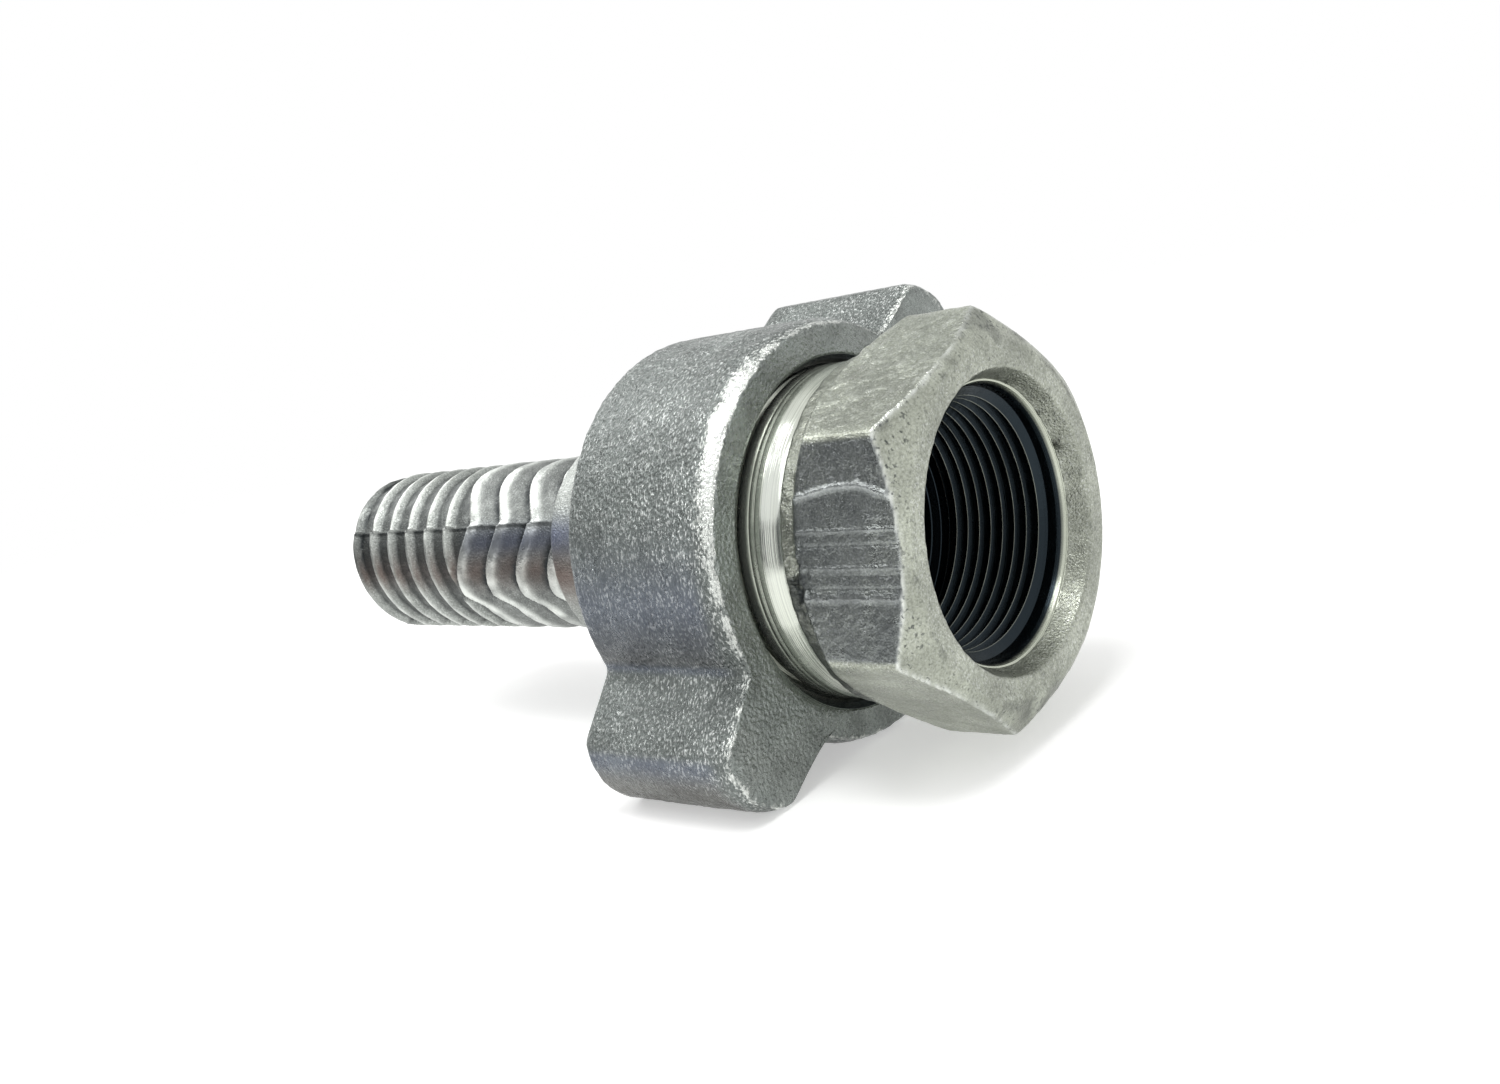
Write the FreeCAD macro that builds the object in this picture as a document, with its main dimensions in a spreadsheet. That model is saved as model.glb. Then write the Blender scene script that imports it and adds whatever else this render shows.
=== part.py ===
"""Wing nut hose coupling: barbed hose stem, two-wing nut, hexagonal pipe spud and its soft seat ring.

The coupling lies on its side. X is its axis and points out of the pipe mouth, and Z is up. The origin is
on the axis, where the pipe thread begins. Lengths are in millimetres and angles in degrees. Places along the
axis are chained from the pipe mouth towards the hose end, so each piece seats on the one before it.
"""
import FreeCAD, Part
import math
import os
import Sketcher

SIZES = [
    # Pipe spud, from its mouth inwards.
    ("hex_across_flats", 57.15, "wrench size of the hexagon"),
    ("hex_face_diameter", 54.0, "flat ring left on the front face by the chamfer"),
    ("hex_front_crown", 57.0, "radius of the slightly domed front chamfer"),
    ("hex_back_crown", 46.0, "radius of the slightly domed back chamfer"),
    ("hex_length", 19.5, "front face to where the back chamfer meets the barrel"),
    ("hex_turn", 79.4, "direction of one hexagon corner about the axis"),
    ("spud_length", 48.5, "front face to the inner end"),
    ("spud_thread_diameter", 54.6, "outside of the thread that carries the wing nut"),
    ("recess_mouth_diameter", 46.4, "forged recess at the front face"),
    ("recess_floor_diameter", 43.1, "forged recess at its floor"),
    ("recess_depth", 3.5, "depth of the forged recess"),
    ("entry_depth", 1.5, "depth of the chamfer that leads into the pipe thread"),
    ("pipe_bore_diameter", 38.8, "crest of the internal pipe thread"),
    ("pipe_thread_depth", 22.0, "length of the internal pipe thread"),
    ("waterway_diameter", 35.2, "waterway of the spud and of its seat ring"),
    # Soft seat ring.
    ("ring_wall", 3.9, "thickness of the seat ring around the waterway"),
    ("ring_press", 0.02, "interference of the ring in its counterbore, on the radius"),
    ("ring_length", 4.5, "counterbore depth for the ring"),
    ("ring_recess", 0.4, "ring face below the spud's inner end"),
    ("seat_width", 1.0, "seat cone from the waterway outwards, square to the axis"),
    ("seat_contact", 0.6, "waterway to the circle where the ball nose touches the cone"),
    ("seat_gap", 0.15, "gap between nose and seat, square to the surfaces"),
    # Hose stem.
    ("nose_radius", 30.0, "sphere of the stem's nose"),
    ("nose_tip_diameter", 34.6, "small end of the nose"),
    ("flange_diameter", 51.2, "head flange that the wing nut pulls on"),
    ("flange_thickness", 6.957, "head flange from the nose to the shoulder"),
    ("flange_gap", 0.971, "gap between the head flange and the spud's inner end"),
    ("stem_bore_diameter", 26.0, "waterway through the stem"),
    ("neck_stem_diameter", 33.0, "neck between head and collar"),
    ("neck_stem_length", 20.7, "shoulder to the collar"),
    ("collar_diameter", 40.28, "collar for the fingers of the hose clamp"),
    ("collar_width", 6.0, "collar along the axis"),
    ("shank_length", 70.1, "collar to the hose end"),
    ("shank_diameter", 33.5, "over the crests of the shank"),
    ("tail_diameter", 31.2, "hose end of the shank"),
    ("tail_taper", 1.1, "length of the lead-in taper at the hose end"),
    ("tail_land", 0.6, "flat crest behind that taper"),
    ("valley_count", 6, "valleys that leave narrow rings between them"),
    ("valley_pitch", 6.35, "from one ring crest to the next"),
    ("valley_depth", 1.3, "depth of a valley"),
    ("valley_flank", 1.3, "sloping side of a valley, along the axis"),
    ("barb_count", 4, "wide barbs between the rings and the collar"),
    ("barb_pitch", 9.15, "from one wide barb to the next"),
    ("barb_land", 3.0, "flat crest of a wide barb"),
    ("barb_depth", 1.5, "depth of the step behind a wide barb"),
    ("barb_step", 0.7, "slope of that step, along the axis"),
    # Wing nut.
    ("shoulder_gap", 0.15, "gap between the nut's back wall and the head"),
    ("nut_wall", 5.1, "thickness of the nut's back wall"),
    ("nut_length", 31.7, "length of the nut"),
    ("nut_diameter", 69.7, "ring of the nut"),
    ("nut_mouth_diameter", 56.8, "countersink at the nut's mouth"),
    ("nut_mouth_depth", 2.0, "depth of that countersink"),
    ("nut_thread_gap", 0.15, "gap between the nut's thread bore and the spud, on the radius"),
    ("nut_collar_gap", 0.66, "gap that lets the nut pass over the stem's collar, on the radius"),
    ("nut_back_edge", 1.7, "broken back edge of the nut"),
    ("nut_front_edge", 0.9, "broken front edge of the nut"),
    ("wing_turn", -141.63, "direction of the wing that the coupling leans on"),
    ("wing_reach", 49.4, "axis to the tip of a wing"),
    ("wing_tip_width", 16.2, "width of a wing at its tip"),
    ("wing_tip_radius", 12.0, "crown of a wing's tip"),
    ("wing_root_width", 22.4, "width of a wing where its sides start"),
    ("wing_root_place", 28.0, "axis to where the wing's sides start, inside the ring"),
    ("wing_corner_round", 3.6, "rounded corners of a wing's tip"),
    ("wing_root_round", 5.5, "fillet between wing and ring"),
]

doc = FreeCAD.newDocument("hose_coupling")
sheet = doc.addObject("Spreadsheet::Sheet", "Sizes")
for row, (alias, value, meaning) in enumerate(SIZES, start=1):
    sheet.set(f"A{row}", meaning)
    sheet.set(f"B{row}", str(value))
    sheet.setAlias(f"B{row}", alias)
doc.recompute()


def half(alias):
    """Expression for the radius of a diameter in the sheet."""
    return f"(Sizes.{alias} / 2)"


# Places along the axis, as expressions. Each is chained to the piece that it seats on.
SPUD_FRONT = "(Sizes.recess_depth + Sizes.entry_depth)"
RECESS_FLOOR = "(Sizes.entry_depth)"
HEX_END = f"({SPUD_FRONT} - Sizes.hex_length)"
SPUD_BACK = f"({SPUD_FRONT} - Sizes.spud_length)"
RING_FLOOR = f"({SPUD_BACK} + Sizes.ring_length)"
RING_FACE = f"({SPUD_BACK} + Sizes.ring_recess)"

# The seat cone is tangent to the nose sphere on the seat circle.
RING_OUTSIDE = f"({half('waterway_diameter')} + Sizes.ring_wall)"
SEAT_MOUTH = f"({half('waterway_diameter')} + Sizes.seat_width)"
SEAT_CIRCLE = f"({half('waterway_diameter')} + Sizes.seat_contact)"
SEAT_REACH = f"sqrt(Sizes.nose_radius ^ 2 - {SEAT_CIRCLE} ^ 2)"
SEAT_SLOPE = f"({SEAT_CIRCLE} / {SEAT_REACH})"
SEAT_PLACE = f"({RING_FACE} + (Sizes.seat_width - Sizes.seat_contact) * {SEAT_SLOPE})"
NOSE_CENTRE = f"({SEAT_PLACE} - {SEAT_REACH} - Sizes.seat_gap * Sizes.nose_radius / {SEAT_REACH})"
NOSE_TIP = f"({NOSE_CENTRE} + sqrt(Sizes.nose_radius ^ 2 - {half('nose_tip_diameter')} ^ 2))"
NOSE_BASE = f"({SPUD_BACK} - Sizes.flange_gap)"
NOSE_FOOT = f"sqrt(Sizes.nose_radius ^ 2 - ({NOSE_BASE} - {NOSE_CENTRE}) ^ 2)"
SHOULDER = f"({NOSE_BASE} - Sizes.flange_thickness)"
COLLAR_FRONT = f"({SHOULDER} - Sizes.neck_stem_length)"
COLLAR_BACK = f"({COLLAR_FRONT} - Sizes.collar_width)"
STEM_END = f"({COLLAR_BACK} - Sizes.shank_length)"
FIRST_VALLEY = f"({STEM_END} + Sizes.tail_taper + Sizes.tail_land)"
FIRST_BARB = f"({FIRST_VALLEY} + Sizes.valley_count * Sizes.valley_pitch)"

NUT_WALL_FRONT = f"({SHOULDER} - Sizes.shoulder_gap)"
NUT_BACK = f"({NUT_WALL_FRONT} - Sizes.nut_wall)"
NUT_FRONT = f"({NUT_BACK} + Sizes.nut_length)"
NUT_BORE = f"({half('spud_thread_diameter')} + Sizes.nut_thread_gap)"
NUT_HOLE = f"({half('collar_diameter')} + Sizes.nut_collar_gap)"

HEX_SIDES = 6
WING_COUNT = 2
CUT_MARGIN = 1.0          # how far a cut's outline stands off the metal it removes
SLACK = 0.01              # what counts as the same length or place


def measure(expression):
    """Number that an expression gives with the sheet's present sizes."""
    result = sheet.evalExpression(expression)
    return float(getattr(result, "Value", result))


def new_body(name):
    body = doc.addObject("PartDesign::Body", name)
    body.Label = name
    body.Placement = FreeCAD.Placement()
    return body


def origin_feature(body, role):
    return next(item for item in body.Origin.OriginFeatures if item.Role == role)


def new_sketch(body, name, role, lift=None, turn=None):
    """Sketch on an origin plane, raised along its normal by lift and turned about it by turn."""
    sketch = body.newObject("Sketcher::SketchObject", name)
    sketch.AttachmentSupport = [(origin_feature(body, role), "")]
    sketch.MapMode = "FlatFace"
    if lift is not None:
        sketch.setExpression("AttachmentOffset.Base.z", lift)
    if turn is not None:
        sketch.setExpression("AttachmentOffset.Rotation.Angle", turn)
    doc.recompute()
    return sketch


def arc_between(start, end, bend):
    """Arc from start to end: about a centre on the horizontal axis, or swelling to the right by a radius."""
    run = end - start
    middle = (start + end) / 2
    if bend is None:
        centre = middle.x + middle.y * run.y / run.x
        radius = math.hypot(start.x - centre, start.y)
        lean = math.atan2(middle.y, middle.x - centre)
        crown = FreeCAD.Vector(centre + radius * math.cos(lean), radius * math.sin(lean), 0)
    else:
        radius = measure(bend)
        sag = radius - math.sqrt(radius ** 2 - (run.Length / 2) ** 2)
        crown = middle + FreeCAD.Vector(run.y, -run.x, 0) / run.Length * sag
    return Part.Arc(start, crown, end)


def end_nearest(sketch, side, point):
    """Which end of a side lies at point: 1 for its start, 2 for its end."""
    return min((1, 2), key=lambda end: sketch.getPoint(side, end).distanceToPoint(point))


def draw_outline(sketch, corners, arcs=None):
    """Closed outline through corners, each a pair of expressions for its place and height.

    arcs maps the number of a side to what bends it: None for an arc about a centre on the horizontal axis,
    or the expression of a radius for an arc that swells to the right of the side's run.
    """
    arcs = arcs or {}
    points = [FreeCAD.Vector(measure(across), measure(up), 0) for across, up in corners]
    for side, start in enumerate(points):
        end = points[(side + 1) % len(points)]
        line = arc_between(start, end, arcs[side]) if side in arcs else Part.LineSegment(start, end)
        sketch.addGeometry(line, False)
    for side, point in enumerate(points):
        before = (side - 1) % len(points)
        before_end = end_nearest(sketch, before, point)
        start = end_nearest(sketch, side, point)
        sketch.addConstraint(Sketcher.Constraint("Coincident", before, before_end, side, start))
        place = sketch.addConstraint(Sketcher.Constraint("DistanceX", side, start, point.x))
        height = sketch.addConstraint(Sketcher.Constraint("DistanceY", side, start, point.y))
        sketch.setExpression(f"Constraints[{place}]", corners[side][0])
        sketch.setExpression(f"Constraints[{height}]", corners[side][1])
    for side, bend in arcs.items():
        if bend is None:
            # Point 3 of an arc is its centre, and geometry -1 is the sketch's horizontal axis.
            sketch.addConstraint(Sketcher.Constraint("PointOnObject", side, 3, -1))
        else:
            radius = sketch.addConstraint(Sketcher.Constraint("Radius", side, measure(bend)))
            sketch.setExpression(f"Constraints[{radius}]", bend)
    doc.recompute()


def spin(body, kind, name, corners, arcs=None):
    """Revolution or Groove of an outline about the coupling's axis."""
    sketch = new_sketch(body, name + "_outline", "XZ_Plane")
    draw_outline(sketch, corners, arcs)
    feature = body.newObject("PartDesign::" + kind, name)
    feature.Profile = sketch
    feature.ReferenceAxis = (sketch, ["H_Axis"])
    feature.Angle = 360
    doc.recompute()
    return feature


def repeat_along_axis(body, name, feature, pitch, count):
    """Copies of a feature towards the pipe mouth."""
    pattern = body.newObject("PartDesign::LinearPattern", name)
    pattern.Originals = [feature]
    pattern.Direction = (origin_feature(body, "X_Axis"), [""])
    pattern.setExpression("Occurrences", count)
    pattern.setExpression("Length", f"{pitch} * ({count} - 1)")
    body.Tip = pattern
    doc.recompute()
    return pattern


def round_edges(body, name, radius, wanted):
    """Fillet on those edges of the body so far that the test wanted accepts."""
    base = body.Tip
    edges = base.Shape.Edges
    names = [f"Edge{number}" for number, edge in enumerate(edges, start=1) if wanted(base.Shape, edge)]
    if not names:
        raise RuntimeError(f"{name}: no edge to round")
    fillet = body.newObject("PartDesign::Fillet", name)
    fillet.Base = (base, names)
    fillet.setExpression("Radius", radius)
    doc.recompute()
    return fillet


def break_edges(body, name, size, wanted):
    """Chamfer on those edges of the body so far that the test wanted accepts."""
    base = body.Tip
    edges = enumerate(base.Shape.Edges, start=1)
    names = [f"Edge{number}" for number, edge in edges if wanted(base.Shape, edge)]
    if not names:
        raise RuntimeError(f"{name}: no edge to break")
    chamfer = body.newObject("PartDesign::Chamfer", name)
    chamfer.Base = (base, names)
    chamfer.setExpression("Size", size)
    doc.recompute()
    return chamfer


def polygon_corner(across_flats, number, sides):
    """Corner of a regular polygon, as a pair of expressions."""
    reach = f"{across_flats} / 2 / cos({180 / sides} deg)"
    angle = f"({360 / sides * number} deg)"
    return f"{reach} * cos{angle}", f"{reach} * sin{angle}"


def build_pipe_spud():
    """Forged hexagon with a threaded barrel, bored from both ends."""
    body = new_body("pipe_spud")
    outline = new_sketch(body, "hexagon", "YZ_Plane", lift=HEX_END, turn="Sizes.hex_turn")
    corners = [polygon_corner("Sizes.hex_across_flats", number, HEX_SIDES) for number in range(HEX_SIDES)]
    draw_outline(outline, corners)
    prism = body.newObject("PartDesign::Pad", "hexagon_prism")
    prism.Profile = outline
    prism.setExpression("Length", "Sizes.hex_length")
    doc.recompute()

    beyond = f"({half('hex_across_flats')} / cos({180 / HEX_SIDES} deg) + {CUT_MARGIN})"

    def crown_drop(crown, start):
        """How far a dome of radius crown falls from the radius start to beyond."""
        return f"(sqrt({crown} ^ 2 - {start} ^ 2) - sqrt({crown} ^ 2 - {beyond} ^ 2))"

    spin(body, "Groove", "front_chamfer", [
        (SPUD_FRONT, half("hex_face_diameter")),
        (f"{SPUD_FRONT} - {crown_drop('Sizes.hex_front_crown', half('hex_face_diameter'))}", beyond),
        (SPUD_FRONT, beyond),
    ], arcs={0: None})
    spin(body, "Groove", "back_chamfer", [
        (HEX_END, half("spud_thread_diameter")),
        (f"{HEX_END} + {crown_drop('Sizes.hex_back_crown', half('spud_thread_diameter'))}", beyond),
        (HEX_END, beyond),
    ], arcs={0: None})
    spin(body, "Revolution", "barrel", [
        (HEX_END, "0"),
        (HEX_END, half("spud_thread_diameter")),
        (SPUD_BACK, half("spud_thread_diameter")),
        (SPUD_BACK, "0"),
    ])
    spin(body, "Groove", "bores", [
        (SPUD_FRONT, "0"),
        (SPUD_FRONT, half("recess_mouth_diameter")),
        (RECESS_FLOOR, half("recess_floor_diameter")),
        ("0", half("pipe_bore_diameter")),
        ("-Sizes.pipe_thread_depth", half("pipe_bore_diameter")),
        ("-Sizes.pipe_thread_depth", half("waterway_diameter")),
        (RING_FLOOR, half("waterway_diameter")),
        (RING_FLOOR, RING_OUTSIDE),
        (SPUD_BACK, RING_OUTSIDE),
        (SPUD_BACK, "0"),
    ])
    return body


def build_seat_ring():
    """Soft ring in the spud's inner end, with the cone that the nose seals on."""
    body = new_body("seat_ring")
    outside = f"({RING_OUTSIDE} + Sizes.ring_press)"
    cone_depth = f"Sizes.seat_width * {SEAT_SLOPE}"
    spin(body, "Revolution", "ring", [
        (RING_FLOOR, half("waterway_diameter")),
        (RING_FLOOR, outside),
        (RING_FACE, outside),
        (RING_FACE, SEAT_MOUTH),
        (f"{RING_FACE} + {cone_depth}", half("waterway_diameter")),
    ])
    return body


def build_hose_stem():
    """Stem in one piece: barbed shank, collar, neck, and a flanged head with a ball nose."""
    body = new_body("hose_stem")
    crest = half("shank_diameter")
    collar = half("collar_diameter")
    corners = [
        (STEM_END, half("stem_bore_diameter")),
        (STEM_END, half("tail_diameter")),
        (f"{STEM_END} + Sizes.tail_taper", crest),
        (COLLAR_BACK, crest),
        (COLLAR_BACK, collar),
        (COLLAR_FRONT, collar),
        (COLLAR_FRONT, half("neck_stem_diameter")),
        (SHOULDER, half("neck_stem_diameter")),
        (SHOULDER, half("flange_diameter")),
        (NOSE_BASE, half("flange_diameter")),
        (NOSE_BASE, NOSE_FOOT),
        (NOSE_TIP, half("nose_tip_diameter")),
        (NOSE_TIP, half("stem_bore_diameter")),
    ]
    nose_side = corners.index((NOSE_BASE, NOSE_FOOT))
    spin(body, "Revolution", "blank", corners, arcs={nose_side: None})

    above = f"({crest} + {CUT_MARGIN})"
    valley_floor = f"({crest} - Sizes.valley_depth)"
    valley_end = f"({FIRST_VALLEY} + Sizes.valley_pitch)"
    valley = spin(body, "Groove", "first_valley", [
        (FIRST_VALLEY, crest),
        (f"{FIRST_VALLEY} + Sizes.valley_flank", valley_floor),
        (f"{valley_end} - Sizes.valley_flank", valley_floor),
        (valley_end, crest),
        (valley_end, above),
        (FIRST_VALLEY, above),
    ])
    repeat_along_axis(body, "valleys", valley, "Sizes.valley_pitch", "Sizes.valley_count")

    slope_start = f"({FIRST_BARB} + Sizes.barb_land)"
    slope_end = f"({FIRST_BARB} + Sizes.barb_pitch)"
    barb = spin(body, "Groove", "first_barb", [
        (slope_start, crest),
        (f"{slope_end} - Sizes.barb_step", f"{crest} - Sizes.barb_depth"),
        (slope_end, crest),
        (slope_end, above),
        (slope_start, above),
    ])
    repeat_along_axis(body, "barbs", barb, "Sizes.barb_pitch", "(Sizes.barb_count - 1)")
    return body


def build_wing_nut():
    """Cast ring with two wings, bored and countersunk, with a back wall that holds the stem's head."""
    body = new_body("wing_nut")
    spin(body, "Revolution", "ring_blank", [
        (NUT_BACK, "0"),
        (NUT_BACK, half("nut_diameter")),
        (NUT_FRONT, half("nut_diameter")),
        (NUT_FRONT, "0"),
    ])
    tip_rise = f"sqrt(Sizes.wing_tip_radius ^ 2 - {half('wing_tip_width')} ^ 2)"
    tip = f"(Sizes.wing_reach - Sizes.wing_tip_radius + {tip_rise})"
    outline = new_sketch(body, "wing_outline", "YZ_Plane", lift=NUT_BACK, turn="Sizes.wing_turn")
    draw_outline(outline, [
        ("Sizes.wing_root_place", f"-{half('wing_root_width')}"),
        (tip, f"-{half('wing_tip_width')}"),
        (tip, half("wing_tip_width")),
        ("Sizes.wing_root_place", half("wing_root_width")),
    ], arcs={1: "Sizes.wing_tip_radius"})
    wing = body.newObject("PartDesign::Pad", "wing")
    wing.Profile = outline
    wing.setExpression("Length", "Sizes.nut_length")
    doc.recompute()
    wings = body.newObject("PartDesign::PolarPattern", "wings")
    wings.Originals = [wing]
    wings.Axis = (origin_feature(body, "X_Axis"), [""])
    wings.Angle = 360
    wings.Occurrences = WING_COUNT
    body.Tip = wings
    doc.recompute()

    between = (measure("Sizes.wing_reach") + measure(half("nut_diameter"))) / 2

    def runs_full_length(shape, edge):
        """True for an edge between two faces that runs from the nut's back to its front."""
        faces = shape.ancestorsOfType(edge, Part.Face)
        return len(faces) == 2 and abs(edge.BoundBox.XLength - measure("Sizes.nut_length")) < SLACK

    def distance_out(edge):
        middle = edge.CenterOfMass
        return math.hypot(middle.y, middle.z)

    def lies_in(edge, place):
        return max(abs(edge.BoundBox.XMin - place), abs(edge.BoundBox.XMax - place)) < SLACK

    round_edges(body, "wing_roots", "Sizes.wing_root_round",
                lambda shape, edge: runs_full_length(shape, edge) and distance_out(edge) < between)
    round_edges(body, "wing_corners", "Sizes.wing_corner_round",
                lambda shape, edge: runs_full_length(shape, edge) and distance_out(edge) > between)
    break_edges(body, "back_edge", "Sizes.nut_back_edge",
                lambda shape, edge: lies_in(edge, measure(NUT_BACK)))
    break_edges(body, "front_edge", "Sizes.nut_front_edge",
                lambda shape, edge: lies_in(edge, measure(NUT_FRONT)))

    spin(body, "Groove", "bores", [
        (NUT_FRONT, "0"),
        (NUT_FRONT, half("nut_mouth_diameter")),
        (f"{NUT_FRONT} - Sizes.nut_mouth_depth", NUT_BORE),
        (NUT_WALL_FRONT, NUT_BORE),
        (NUT_WALL_FRONT, NUT_HOLE),
        (NUT_BACK, NUT_HOLE),
        (NUT_BACK, "0"),
    ])
    return body


bodies = [build_pipe_spud(), build_seat_ring(), build_hose_stem(), build_wing_nut()]
doc.recompute()

for item in doc.Objects:
    if "Invalid" in item.State or "Error" in item.State:
        raise RuntimeError(f"{item.Name} did not build: {item.State}")
for body in bodies:
    if body.Shape.isNull() or not body.Shape.isValid() or len(body.Shape.Solids) != 1:
        raise RuntimeError(f"{body.Label} is not one valid solid")

os.makedirs("parts", exist_ok=True)
for body in bodies:
    body.Shape.exportStep(f"parts/{body.Label}.step")
    print(f"{body.Label}: {body.Shape.Volume / 1000:.2f} cm3")
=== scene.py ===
"""Looks of a zinc plated wing nut hose coupling, built on its packed frame.

The coupling lies on its side: hose stem on the left, wing nut in the middle, hexagonal pipe end on the right.
Lengths in the code are millimetres, apart from the stage's, and every mesh is written in metres.
"""

import math

import bpy
import numpy as np
from bpy.props import FloatProperty, FloatVectorProperty, IntProperty, PointerProperty
from mathutils import Matrix, Vector


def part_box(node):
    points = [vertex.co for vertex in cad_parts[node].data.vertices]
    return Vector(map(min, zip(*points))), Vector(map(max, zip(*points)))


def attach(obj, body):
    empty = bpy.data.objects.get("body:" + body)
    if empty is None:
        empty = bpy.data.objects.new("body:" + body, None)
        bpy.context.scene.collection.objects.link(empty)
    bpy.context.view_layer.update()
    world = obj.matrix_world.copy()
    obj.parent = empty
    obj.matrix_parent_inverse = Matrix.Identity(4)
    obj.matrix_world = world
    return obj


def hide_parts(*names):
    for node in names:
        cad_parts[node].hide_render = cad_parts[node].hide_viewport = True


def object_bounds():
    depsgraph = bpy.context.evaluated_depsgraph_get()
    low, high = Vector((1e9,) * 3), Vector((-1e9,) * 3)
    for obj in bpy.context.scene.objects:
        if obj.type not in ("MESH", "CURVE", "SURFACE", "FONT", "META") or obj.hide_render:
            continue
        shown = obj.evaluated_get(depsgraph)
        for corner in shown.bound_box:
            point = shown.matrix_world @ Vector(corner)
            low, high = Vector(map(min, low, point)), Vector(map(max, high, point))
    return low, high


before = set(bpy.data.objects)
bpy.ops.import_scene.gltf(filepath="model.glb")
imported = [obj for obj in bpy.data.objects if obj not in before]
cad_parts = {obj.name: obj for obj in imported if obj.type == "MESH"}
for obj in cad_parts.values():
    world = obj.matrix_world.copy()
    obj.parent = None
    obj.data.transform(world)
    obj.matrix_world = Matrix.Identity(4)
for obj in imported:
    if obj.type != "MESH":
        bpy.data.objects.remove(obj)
CAD_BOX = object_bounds()

bl_info = {
    "name": "Wing nut hose coupling",
    "version": (1, 0, 0),
    "blender": (4, 5, 0),
    "location": "3D View > Sidebar > Coupling",
    "description": "Builds the looks of a wing nut hose coupling on its packed frame",
    "category": "Object",
}

MM = 0.001
TURN = 2 * math.pi


def end_of(node, side):
    """Where a node ends along the axis, in millimetres: side 0 is its low end and side 1 its high end."""
    return round(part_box(node)[side][0] / MM, 3)


# Places along the axis, from the pipe thread's mouth, positive towards the pipe.
STEM_END = end_of("hose_stem", 0)
SHANK_END = STEM_END + 70.1
COLLAR_END = SHANK_END + 6.0
SHOULDER = COLLAR_END + 20.7
FLANGE_FRONT = -44.47
NOSE_TIP = -42.321
NUT_BACK = end_of("wing_nut", 0)
NUT_WALL = SHOULDER - 0.15
NUT_FRONT = end_of("wing_nut", 1)
SPUD_BACK = end_of("pipe_spud", 0)
SPUD_FRONT = end_of("pipe_spud", 1)
HEX_BACK = SPUD_FRONT - 19.5
NECK_BACK = SPUD_FRONT - 22.3
SEAT_FLOOR = -39.0
THREAD_END = -22.0
RECESS_FLOOR = 1.5

# Radii from the axis.
SHANK_RADIUS = 16.75
TAIL_RADIUS = 15.5
COLLAR_RADIUS = 20.14
STEM_NECK = 16.5
FLANGE_RADIUS = 25.6
NOSE_FOOT = 20.0
NOSE_END = 17.3
BACK_HOLE = 20.8
COUNTERSINK = 28.75
SPUD_NECK = 28.1
SEAT_POCKET = 21.5
WATERWAY = 17.6

# The ball nose is part of a sphere on the axis.
BALL_RADIUS = 30.0
BALL_CENTRE = -66.83

# Angles about the axis, in degrees from +Y towards +Z.
PARTING = 149.1
FLAT = 169.4
WING = -141.63

# What the materials read from a piece's points.
FIELDS = ("wear_and_highlight", "soiled_and_shaded", "pitted", "turned", "deep", "blue", "brown", "glint_damping", "pale")


# Settings


def length_property(name, description, millimetres):
    """A length that a user can change."""
    return FloatProperty(name=name, description=description, default=millimetres * MM, unit="LENGTH")


def power_property(name, description, watts):
    """The power of a lamp."""
    return FloatProperty(name=name, description=description, default=watts, unit="POWER")


def colour_property(name, description, colour):
    """The colour of a metal, of its soil, or of its painted shade."""
    return FloatVectorProperty(
        name=name, description=description, subtype="COLOR", default=colour, min=0, max=1
    )


def count_property(name, description, count, least):
    """A number of mesh columns or steps."""
    return IntProperty(name=name, description=description, default=count, min=least)


class StageSettings(bpy.types.PropertyGroup):
    """Camera, lamps and floor."""

    lens: FloatProperty(name="Lens", description="Focal length of the camera", default=33.43, unit="CAMERA")
    key_light: power_property("Key light", "Power of the lamp overhead", 1.7)
    side_light: power_property("Side light", "Power of the lamp high on the left", 0.75)
    fill_light: power_property("Fill light", "Power of the lamp beyond the hose end", 0.8)
    surround: FloatProperty(
        name="Surround", description="Strength of the light that comes from all around", default=0.55
    )
    floor_width: length_property("Floor width", "Width of the floor", 1600.0)


class StemSettings(bpy.types.PropertyGroup):
    """Sizes of the forged hose stem."""

    crest: length_property("Crest radius", "Radius over the barbs", SHANK_RADIUS)
    valley: length_property("Valley radius", "Radius between the rings", 15.45)
    bore: length_property("Bore radius", "Radius of the waterway", 13.0)
    mismatch: length_property(
        "Die mismatch", "How far one half of the forging is shifted along the axis", 0.85
    )
    columns: count_property("Columns", "Mesh columns round the axis", 320, 64)


class NutSettings(bpy.types.PropertyGroup):
    """Sizes of the cast wing nut."""

    ring: length_property("Ring radius", "Radius of the nut's ring", 34.85)
    reach: length_property("Wing reach", "From the axis to the end of a wing", 49.4)
    thread_bore: length_property("Thread bore", "Radius of the bore that carries the thread", 27.45)
    grain: length_property("Casting grain", "Height of the sand casting's grain", 0.11)
    columns: count_property("Columns", "Mesh columns round the outline", 560, 96)


class SpudSettings(bpy.types.PropertyGroup):
    """Sizes of the forged pipe end."""

    apothem: length_property("Half across flats", "From the axis to a flat of the hexagon", 28.575)
    front_dome: length_property("Front dome", "Radius of the domed chamfer at the mouth", 57.0)
    back_dome: length_property("Back dome", "Radius of the domed chamfer at the neck", 46.0)
    barrel: length_property("Barrel radius", "Radius over the outside thread", 27.3)
    columns: count_property("Columns", "Mesh columns round the axis", 520, 96)


class ThreadSettings(bpy.types.PropertyGroup):
    """Sizes of the three threads."""

    nut_pitch: length_property("Nut pitch", "Pitch of the thread between nut and pipe end", 2.54)
    pipe_pitch: length_property("Pipe pitch", "Pitch of the tapered pipe thread", 2.209)
    steps: count_property("Steps a turn", "Mesh steps round one turn", 96, 24)


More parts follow.
